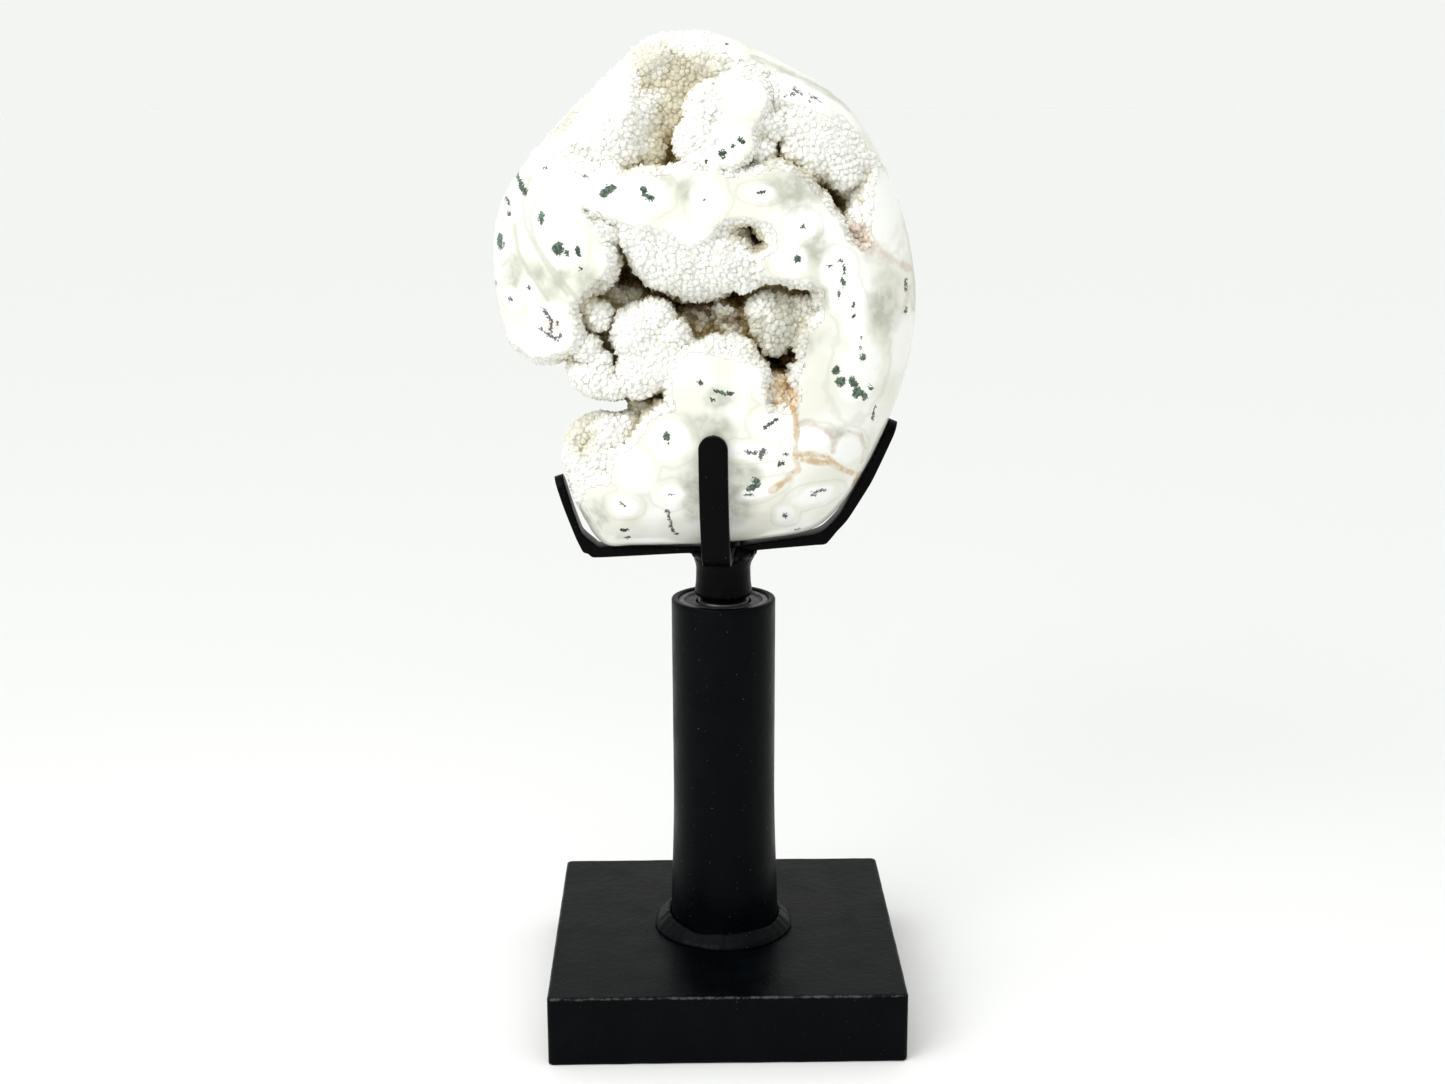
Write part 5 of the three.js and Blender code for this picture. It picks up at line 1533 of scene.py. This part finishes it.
@dataclass
class CrystalGrowth:
    """Grows small quartz crystals on druzy ground, by a Geometry Nodes tree."""

    spacing: float = 1.2
    least: float = 1.6
    greatest: float = 2.7
    lean: float = 0.7
    sunk: float = 0.54

    @staticmethod
    def crystal(width: float, body: float, tip: float, squash: float) -> Shape:
        """One six-sided crystal that stands on its root: a short body and a pointed end.

        Args:
            width: Its width over the corners.
            body: The height of its upright faces, half of them sunk in the ground.
            tip: The height of its point.
            squash: How flat its section is, 1 for a regular one.

        Returns:
            Points and triangles.
        """
        angle = np.arange(6) * math.pi / 3
        ring = np.column_stack([np.cos(angle), squash * np.sin(angle)]) * width / 2
        low = np.column_stack([ring * 0.9, np.full(6, -body / 2)])
        high = np.column_stack([ring, np.full(6, body / 2)])
        points = np.vstack([low, high, [[0.08 * width, 0.05 * width, body / 2 + tip]]])
        here = np.arange(6)
        after = (here + 1) % 6
        sides = np.vstack([np.stack([here, after, after + 6], 1), np.stack([here, after + 6, here + 6], 1)])
        ends = np.stack([here + 6, after + 6, np.full(6, 12)], 1)
        foot = np.array([[0, 2, 1], [0, 3, 2], [0, 4, 3], [0, 5, 4]])
        return points, np.vstack([sides, ends, foot])

    def seed_crystals(self) -> bpy.types.Collection:
        """The collection of crystals that the tree picks from."""
        kinds = bpy.data.collections.new("seed_crystals")
        shapes = ((1.0, 0.6, 0.5, 1.0), (1.1, 0.45, 0.6, 0.8), (0.9, 0.75, 0.42, 0.9))
        for i, sizes in enumerate(shapes):
            crystal = make_object(f"seed_crystal_{i}", self.crystal(*sizes), smooth=False)
            bpy.context.scene.collection.objects.unlink(crystal)
            kinds.objects.link(crystal)
        return kinds

    def tree(self) -> bpy.types.NodeTree:
        """The node tree that scatters, leans, sizes and dresses the crystals."""
        tree = bpy.data.node_groups.new("crystal_growth", "GeometryNodeTree")
        sketch = NodeSketch(tree)
        inputs = (
            ("Ground", "NodeSocketGeometry"), ("Crystals", "NodeSocketCollection"), ("Spacing", "NodeSocketFloat"),
            ("Least size", "NodeSocketFloat"), ("Greatest size", "NodeSocketFloat"), ("Lean", "NodeSocketVector"),
            ("Sunk", "NodeSocketFloat"), ("Seed", "NodeSocketInt"), ("Finish", "NodeSocketMaterial"),
        )
        for name, kind in inputs:
            tree.interface.new_socket(name=name, in_out="INPUT", socket_type=kind)
        tree.interface.new_socket(name="Crystals", in_out="OUTPUT", socket_type="NodeSocketGeometry")
        given = sketch.add("NodeGroupInput").outputs
        scatter = sketch.add(
            "GeometryNodeDistributePointsOnFaces",
            {"Mesh": given["Ground"], "Distance Min": given["Spacing"], "Density Max": 4e6, "Seed": given["Seed"]},
            distribute_method="POISSON",
        )
        inward = sketch.add("ShaderNodeVectorMath", {0: scatter.outputs["Normal"], "Scale": given["Sunk"]}, operation="SCALE")
        placed = sketch.add(
            "GeometryNodeSetPosition", {"Geometry": scatter.outputs["Points"], "Offset": inward.outputs["Vector"]}
        )
        placed = sketch.add(
            "GeometryNodeStoreNamedAttribute",
            {"Geometry": placed.outputs["Geometry"], "Name": "lobe_facing", "Value": scatter.outputs["Normal"]},
            data_type="FLOAT_VECTOR", domain="POINT",
        )
        back_lean = sketch.add("ShaderNodeVectorMath", {0: given["Lean"], "Scale": -1.0}, operation="SCALE")
        leaning = sketch.add(
            "FunctionNodeRandomValue",
            {"Min": back_lean.outputs["Vector"], "Max": given["Lean"], "Seed": given["Seed"]},
            data_type="FLOAT_VECTOR",
        )
        turn = sketch.add("FunctionNodeEulerToRotation", {0: leaning.outputs["Value"]})
        facing = sketch.add(
            "FunctionNodeRotateRotation",
            {"Rotation": scatter.outputs["Rotation"], "Rotate By": turn.outputs[0]},
            rotation_space="LOCAL",
        )
        size = sketch.add(
            "FunctionNodeRandomValue",
            {"Min": given["Least size"], "Max": given["Greatest size"], "Seed": given["Seed"]},
            data_type="FLOAT",
        )
        share = sketch.add("GeometryNodeInputNamedAttribute", {"Name": "sugar"}, data_type="FLOAT")
        sugar = sketch.math("MULTIPLY", self.enabled(size), share.outputs[0])
        pick = sketch.add("FunctionNodeRandomValue", {"Min": 0, "Max": 2, "Seed": given["Seed"]}, data_type="INT")
        kinds = sketch.add(
            "GeometryNodeCollectionInfo", {"Collection": given["Crystals"], "Separate Children": True, "Reset Children": True}
        )
        grown = sketch.add(
            "GeometryNodeInstanceOnPoints",
            {
                "Points": placed.outputs["Geometry"], "Instance": kinds.outputs[0], "Pick Instance": True,
                "Instance Index": self.enabled(pick), "Rotation": facing.outputs[0], "Scale": sugar,
            },
        )
        real = sketch.add("GeometryNodeRealizeInstances", {"Geometry": grown.outputs[0]})
        lobe = sketch.add("GeometryNodeInputNamedAttribute", {"Name": "lobe_facing"}, data_type="FLOAT_VECTOR")
        own = sketch.vector("ADD", sketch.add("GeometryNodeInputNormal").outputs[0], sketch.scaled(self.enabled(lobe), 1.3))
        marked = sketch.add(
            "GeometryNodeStoreNamedAttribute",
            {"Geometry": real.outputs[0], "Name": "soft_facing", "Value": sketch.vector("NORMALIZE", own)},
            data_type="FLOAT_VECTOR", domain="FACE",
        )
        dressed = sketch.add("GeometryNodeSetMaterial", {"Geometry": marked.outputs[0], "Material": given["Finish"]})
        sketch.add("NodeGroupOutput", {0: dressed.outputs[0]})
        return tree

    @staticmethod
    def enabled(node: bpy.types.Node) -> bpy.types.NodeSocket:
        """The output in use of a node that has one output for each kind of data."""
        return next(s for s in node.outputs if s.enabled)

    def grow(
        self, name: str, ground: bpy.types.Object, tree: bpy.types.NodeTree, kinds: bpy.types.Collection,
        finish: bpy.types.Material, seed: int,
    ) -> bpy.types.Object:
        """Grows the crystals of one patch of ground, which is used up.

        Args:
            name: The name of the new piece.
            ground: The druzy faces, as an object.
            tree: The growth tree.
            kinds: The seed crystals.
            finish: The crystals' material.
            seed: What the scatter starts from.

        Returns:
            The crystals as one plain mesh.
        """
        growth = ground.modifiers.new("growth", "NODES")
        growth.node_group = tree
        given = {
            "Crystals": kinds, "Spacing": self.spacing * METRES, "Least size": self.least,
            "Greatest size": self.greatest, "Lean": (self.lean, self.lean, math.pi), "Sunk": -self.sunk * METRES,
            "Seed": seed, "Finish": finish,
        }
        for item in tree.interface.items_tree:
            if item.in_out == "INPUT" and item.name in given:
                growth[item.identifier] = given[item.name]
        context = bpy.context.evaluated_depsgraph_get()
        mesh = bpy.data.meshes.new_from_object(ground.evaluated_get(context), preserve_all_data_layers=True, depsgraph=context)
        ground.modifiers.remove(growth)
        bpy.data.objects.remove(ground)
        mesh.name = name
        piece = bpy.data.objects.new(name, mesh)
        bpy.context.scene.collection.objects.link(piece)
        return piece


@dataclass
class Stone(Part):
    """The agate and the crystals of its hollows."""

    form: AgateForm = field(default_factory=AgateForm)
    growth: CrystalGrowth = field(default_factory=CrystalGrowth)
    upper_edge: float = 229.0
    least_sugar: float = 0.75

    def build(self) -> None:
        """Builds the stone and grows its crystals, patch by patch."""
        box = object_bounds()
        shape, druzy, stain_and_shade = self.form.surface()
        stone = make_object("agate_stone", shape)
        keep_inside(stone, box)
        values = {"recess": stain_and_shade} | {name: nearness_at(shape[0], blots) for name, blots in SOFT_ZONES.items()}
        set_point_values(stone, {"druzy": druzy} | values)
        self.hand_over(stone, Body.CRADLE, Slot.POLISHED_AGATE, PolishedAgate().material(), "agate")
        quartz = DruzyQuartz().material()
        kinds, tree = self.growth.seed_crystals(), self.growth.tree()
        below = -self.form.dome(*shape[0].T)
        values["sugar"] = self.least_sugar + (1 - self.least_sugar) * smooth_step(below, 0.4, 2.0)
        for i, (name, kept, node) in enumerate(self.patches(shape, druzy)):
            ground = self.ground(f"ground_{i}", shape, kept, values)
            crystals = self.growth.grow(name, ground, tree, kinds, quartz, seed=i + 1)
            keep_inside(crystals, box)
            nodes = [node] if node else []
            self.hand_over(crystals, Body.CRADLE, Slot.DRUZY_QUARTZ, quartz, *nodes)
        for crystal in list(kinds.objects):
            bpy.data.objects.remove(crystal)
        bpy.data.collections.remove(kinds)

    def patches(self, shape: Shape, druzy: np.ndarray) -> list[tuple[str, np.ndarray, str | None]]:
        """The druzy faces by patch: a name, which faces, and the CAD crust that the patch stands for."""
        points, faces = shape
        centre = points[faces].mean(1)
        rough = druzy[faces].min(1) > 0.9
        x, y, z = centre.T
        front, back = rough & (y < 0), rough & (y >= 0)
        upper = z > self.upper_edge
        patches = [
            ("crystals_top_left", front & upper & (x < -6), "druzy_crust_upper"),
            ("crystals_top_right", front & upper & (x >= -6), None),
            ("crystals_middle_left", front & ~upper & (x < -14) & (z > 180), "druzy_crust_lower"),
            ("crystals_middle_right", front & ~upper & (x >= -14) & (z > 180), None),
            ("crystals_foot", front & ~upper & (z <= 180), None),
            ("crystals_back", back, None),
        ]
        return [(name, kept, node) for name, kept, node in patches if kept.any()]

    @staticmethod
    def ground(name: str, shape: Shape, kept: np.ndarray, values: dict[str, np.ndarray]) -> bpy.types.Object:
        """Some of the stone's faces as an object of their own, with what their points carry."""
        points, faces = shape
        used, corners = np.unique(faces[kept], return_inverse=True)
        patch = make_object(name, (points[used], corners.reshape(-1, faces.shape[1])))
        set_point_values(patch, {key: value[used] for key, value in values.items()})
        return patch


@dataclass(frozen=True)
class SoftLight:
    """A large soft light that looks at the middle of the object."""

    name: str
    place: tuple[float, float, float]
    width: float
    height: float
    power: float
    aim: tuple[float, float, float] = (0.0, 0.0, 0.16)

    def hang(self) -> None:
        """Adds the light to the scene."""
        lamp = bpy.data.lights.new(self.name, "AREA")
        lamp.shape = "RECTANGLE"
        lamp.size, lamp.size_y, lamp.energy = self.width, self.height, self.power
        light = bpy.data.objects.new(self.name, lamp)
        light.location = self.place
        light.rotation_euler = (Vector(self.aim) - Vector(self.place)).to_track_quat("-Z", "Y").to_euler()
        bpy.context.scene.collection.objects.link(light)


@dataclass
class Studio:
    """The pale floor, the soft lights and the camera."""

    camera_place: tuple[float, float, float] = (-9.72, -558.9, 268.27)
    camera_down: float = 13.186
    camera_right: float = 0.975
    camera_roll: float = 0.202
    lens: float = 49.88
    floor_size: float = 30000.0
    daylight_from: tuple[float, float, float] = (-0.5, -0.75, 1.0)
    daylight_power: float = 1.55
    daylight_spread: float = math.radians(85)
    lights: tuple[SoftLight, ...] = (
        SoftLight("key_left", (-0.6, -0.7, 0.75), 0.5, 0.5, 3.0),
    )

    def build(self) -> None:
        """Sets the studio up."""
        half = self.floor_size / 2
        corners = np.array([[-half, -half, 0.0], [half, -half, 0.0], [half, half, 0.0], [-half, half, 0.0]])
        floor = make_object("studio_floor", (corners, np.array([[0, 1, 2, 3]])))
        floor.data.materials.append(PaleFloor().material())
        floor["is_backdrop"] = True
        for light in self.lights:
            light.hang()
        self.build_daylight()
        self.build_sky()
        self.build_camera()
        bpy.context.scene.view_settings.view_transform = "Standard"

    def build_daylight(self) -> None:
        """Even daylight from a large window, the same all over the floor."""
        lamp = bpy.data.lights.new("daylight", "SUN")
        lamp.energy, lamp.angle = self.daylight_power, self.daylight_spread
        light = bpy.data.objects.new("daylight", lamp)
        light.rotation_euler = Vector(self.daylight_from).to_track_quat("Z", "Y").to_euler()
        bpy.context.scene.collection.objects.link(light)

    def build_sky(self) -> None:
        """A pale surround: bright overhead and at the sides, dim behind the camera."""
        world = bpy.data.worlds.new("studio_surround")
        world.use_nodes = True
        sketch = NodeSketch(world.node_tree)
        direction = sketch.add("ShaderNodeTexCoord").outputs["Generated"]
        split = sketch.add("ShaderNodeSeparateXYZ", {0: direction})
        rise, depth = split.outputs["Z"], split.outputs["Y"]
        horizon = sketch.step(sketch.math("ABSOLUTE", rise), 0.04, 0.35, 0.913, 0.72)
        overhead = sketch.step(rise, 0.35, 0.9, 0.0, 0.5)
        glow = sketch.math("ADD", horizon, overhead)
        dim = sketch.step(sketch.math("ABSOLUTE", rise), 0.05, 0.16, 1.0, 0.45)
        towards = sketch.step(depth, -0.95, -0.3, dim, 1.0)
        glow = sketch.math("MULTIPLY", glow, towards)
        tone = sketch.vector("MULTIPLY", glow, (0.985, 1.0, 0.975))
        back = sketch.add("ShaderNodeBackground", {"Color": tone, "Strength": 1.0})
        sketch.add("ShaderNodeOutputWorld", {"Surface": back.outputs[0]})
        bpy.context.scene.world = world

    def build_camera(self) -> None:
        """The camera at the photograph's place and angle, worked out from the stand's known sizes."""
        data = bpy.data.cameras.new("photo_camera")
        data.lens, data.sensor_width, data.sensor_fit = self.lens, 36.0, "HORIZONTAL"
        data.clip_start, data.clip_end = 0.01, 60.0
        camera = bpy.data.objects.new("photo_camera", data)
        turn = Matrix.Rotation(-math.radians(self.camera_right), 4, "Z")
        turn = turn @ Matrix.Rotation(math.radians(90 - self.camera_down), 4, "X")
        turn = turn @ Matrix.Rotation(-math.radians(self.camera_roll), 4, "Z")
        camera.matrix_world = Matrix.Translation(Vector(self.camera_place) * METRES) @ turn
        bpy.context.scene.collection.objects.link(camera)
        bpy.context.scene.camera = camera


def main() -> None:
    """Builds the dressed object round the frame, piece by piece."""
    logging.basicConfig(level=logging.INFO, format="%(name)s: %(message)s")
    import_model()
    Studio().build()
    for part in (Stand(), Cradle(), Stone()):
        part.build()
        LOG.info("%s made: %s", type(part).__name__, ", ".join(part.made))
    bpy.context.view_layer.update()


if __name__ == "__main__":
    main()
